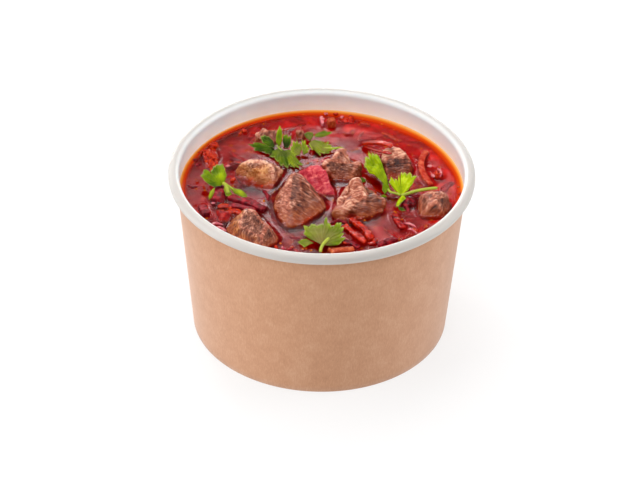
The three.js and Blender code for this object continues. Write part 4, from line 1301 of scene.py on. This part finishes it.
# Each softbox: its place, width and depth in metres, its radiance, where 1 is a sheet of white
# paper in full light, and its colour. Those named veil stand behind the cup, where the broth
# mirrors them as a thin grey sheen: in its middle, to its right, nearer, further, and at its left.
SOFTBOXES = {
    "top": ((-0.3, 0.2, 1.25), 0.9, 0.8, 3.6, WHITE_LIGHT),
    "left": ((-0.95, -0.3, 0.46), 0.6, 0.7, 2.15, WHITE_LIGHT),
    "left_low": ((-0.9, -0.15, 0.045), 0.6, 0.08, 14.5, WHITE_LIGHT),
    "right": ((1.0, 0.12, 0.42), 0.6, 0.7, 3.5, WHITE_LIGHT),
    "behind": ((-0.15, 1.0, 0.2), 1.2, 0.32, 5.0, WHITE_LIGHT),
    "veil": ((-0.009, 0.95, 0.706), 0.104, 0.076, 6.6, ROSE_LIGHT),
    "veil_right": ((0.105, 0.95, 0.722), 0.044, 0.06, 3.0, WHITE_LIGHT),
    "veil_low": ((0.03, 0.95, 0.765), 0.05, 0.04, 2.4, WHITE_LIGHT),
    "veil_high": ((-0.02, 0.95, 0.98), 0.2, 0.5, 0.7, WHITE_LIGHT),
    "veil_left": ((-0.24, 0.95, 0.95), 0.26, 0.46, 1.7, ROSE_LIGHT),
    "veil_side": ((-0.1, 0.95, 0.716), 0.036, 0.036, 2.1, ROSE_LIGHT),
    "spark": ((-0.35, 0.55, 0.95), 0.1, 0.1, 42.0, WHITE_LIGHT),
    "front": ((0.0, -0.75, 1.1), 0.9, 0.5, 3.1, WHITE_LIGHT),
}


def floor():
    """A wide pale floor that glows a little, as a lit table does, so that its shadows are faint."""
    material, tree = new_material("studio_floor")
    surface = add_node(tree, "BsdfPrincipled", {
        "Base Color": "#8C8C8C", "Roughness": 0.9,
        "Emission Color": "#FFFFFF", "Emission Strength": 0.7,
    })
    add_node(tree, "OutputMaterial", {"Surface": surface})
    bm = bmesh.new()
    bmesh.ops.create_grid(bm, x_segments=1, y_segments=1, size=FLOOR_SIZE)
    mesh = bpy.data.meshes.new("floor")
    bm.to_mesh(mesh)
    bm.free()
    mesh.materials.append(material)
    piece = bpy.data.objects.new("floor", mesh)
    bpy.context.scene.collection.objects.link(piece)
    piece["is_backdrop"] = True


def softbox(name, place, width, depth, radiance, colour):
    """A rectangular light that is turned to the cup."""
    light = bpy.data.lights.new(name, "AREA")
    light.shape = "RECTANGLE"
    light.size = width
    light.size_y = depth
    light.energy = radiance * math.pi * width * depth
    light.color = linear(colour)[:3]
    lamp = bpy.data.objects.new(name, light)
    bpy.context.scene.collection.objects.link(lamp)
    lamp.location = place
    lamp.rotation_euler = (LIT_POINT - Vector(place)).to_track_quat("-Z", "Y").to_euler()
    lamp.visible_camera = False


def room():
    """The room's glow, which is dim where it is mirrored."""
    world = bpy.data.worlds.new("studio")
    world.use_nodes = True
    tree = world.node_tree
    tree.nodes.clear()
    path = add_node(tree, "LightPath")
    glow, dim, seen = (
        add_node(tree, "Background", {"Color": "#FFFFFF", "Strength": strength})
        for strength in (ROOM_GLOW, MIRRORED_GLOW, SEEN_GLOW)
    )
    unseen = add_node(tree, "MixShader", {0: path.outputs["Is Glossy Ray"], 1: glow, 2: dim})
    both = add_node(tree, "MixShader", {0: path.outputs["Is Camera Ray"], 1: unseen, 2: seen})
    add_node(tree, "OutputWorld", {"Surface": both})
    bpy.context.scene.world = world


def camera():
    """A long lens, at the height from which the soup is looked into."""
    data = bpy.data.cameras.new("camera")
    data.lens = CAMERA_LENS
    data.sensor_width = 36
    data.clip_start = 0.05
    data.clip_end = 20
    data.shift_x = (PICTURE_MIDDLE[0] - SIGHT_LINE[0]) / PICTURE_WIDTH
    data.shift_y = (SIGHT_LINE[1] - PICTURE_MIDDLE[1]) / PICTURE_WIDTH
    eye = bpy.data.objects.new("camera", data)
    bpy.context.scene.collection.objects.link(eye)
    sight = (CAMERA_TARGET - CAMERA_PLACE).to_track_quat("-Z", "Y").to_matrix().to_4x4()
    roll = Matrix.Rotation(CAMERA_ROLL, 4, "Z")
    eye.matrix_world = Matrix.Translation(CAMERA_PLACE) @ sight @ roll
    bpy.context.scene.camera = eye


floor()
room()
for name, (place, width, depth, radiance, colour) in SOFTBOXES.items():
    softbox(name, place, width, depth, radiance, colour)
camera()
bpy.context.scene.view_settings.view_transform = "Standard"

size = {
    "cad": [list(corner) for corner in cad_box],
    "visual": [list(corner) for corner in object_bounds()],
}
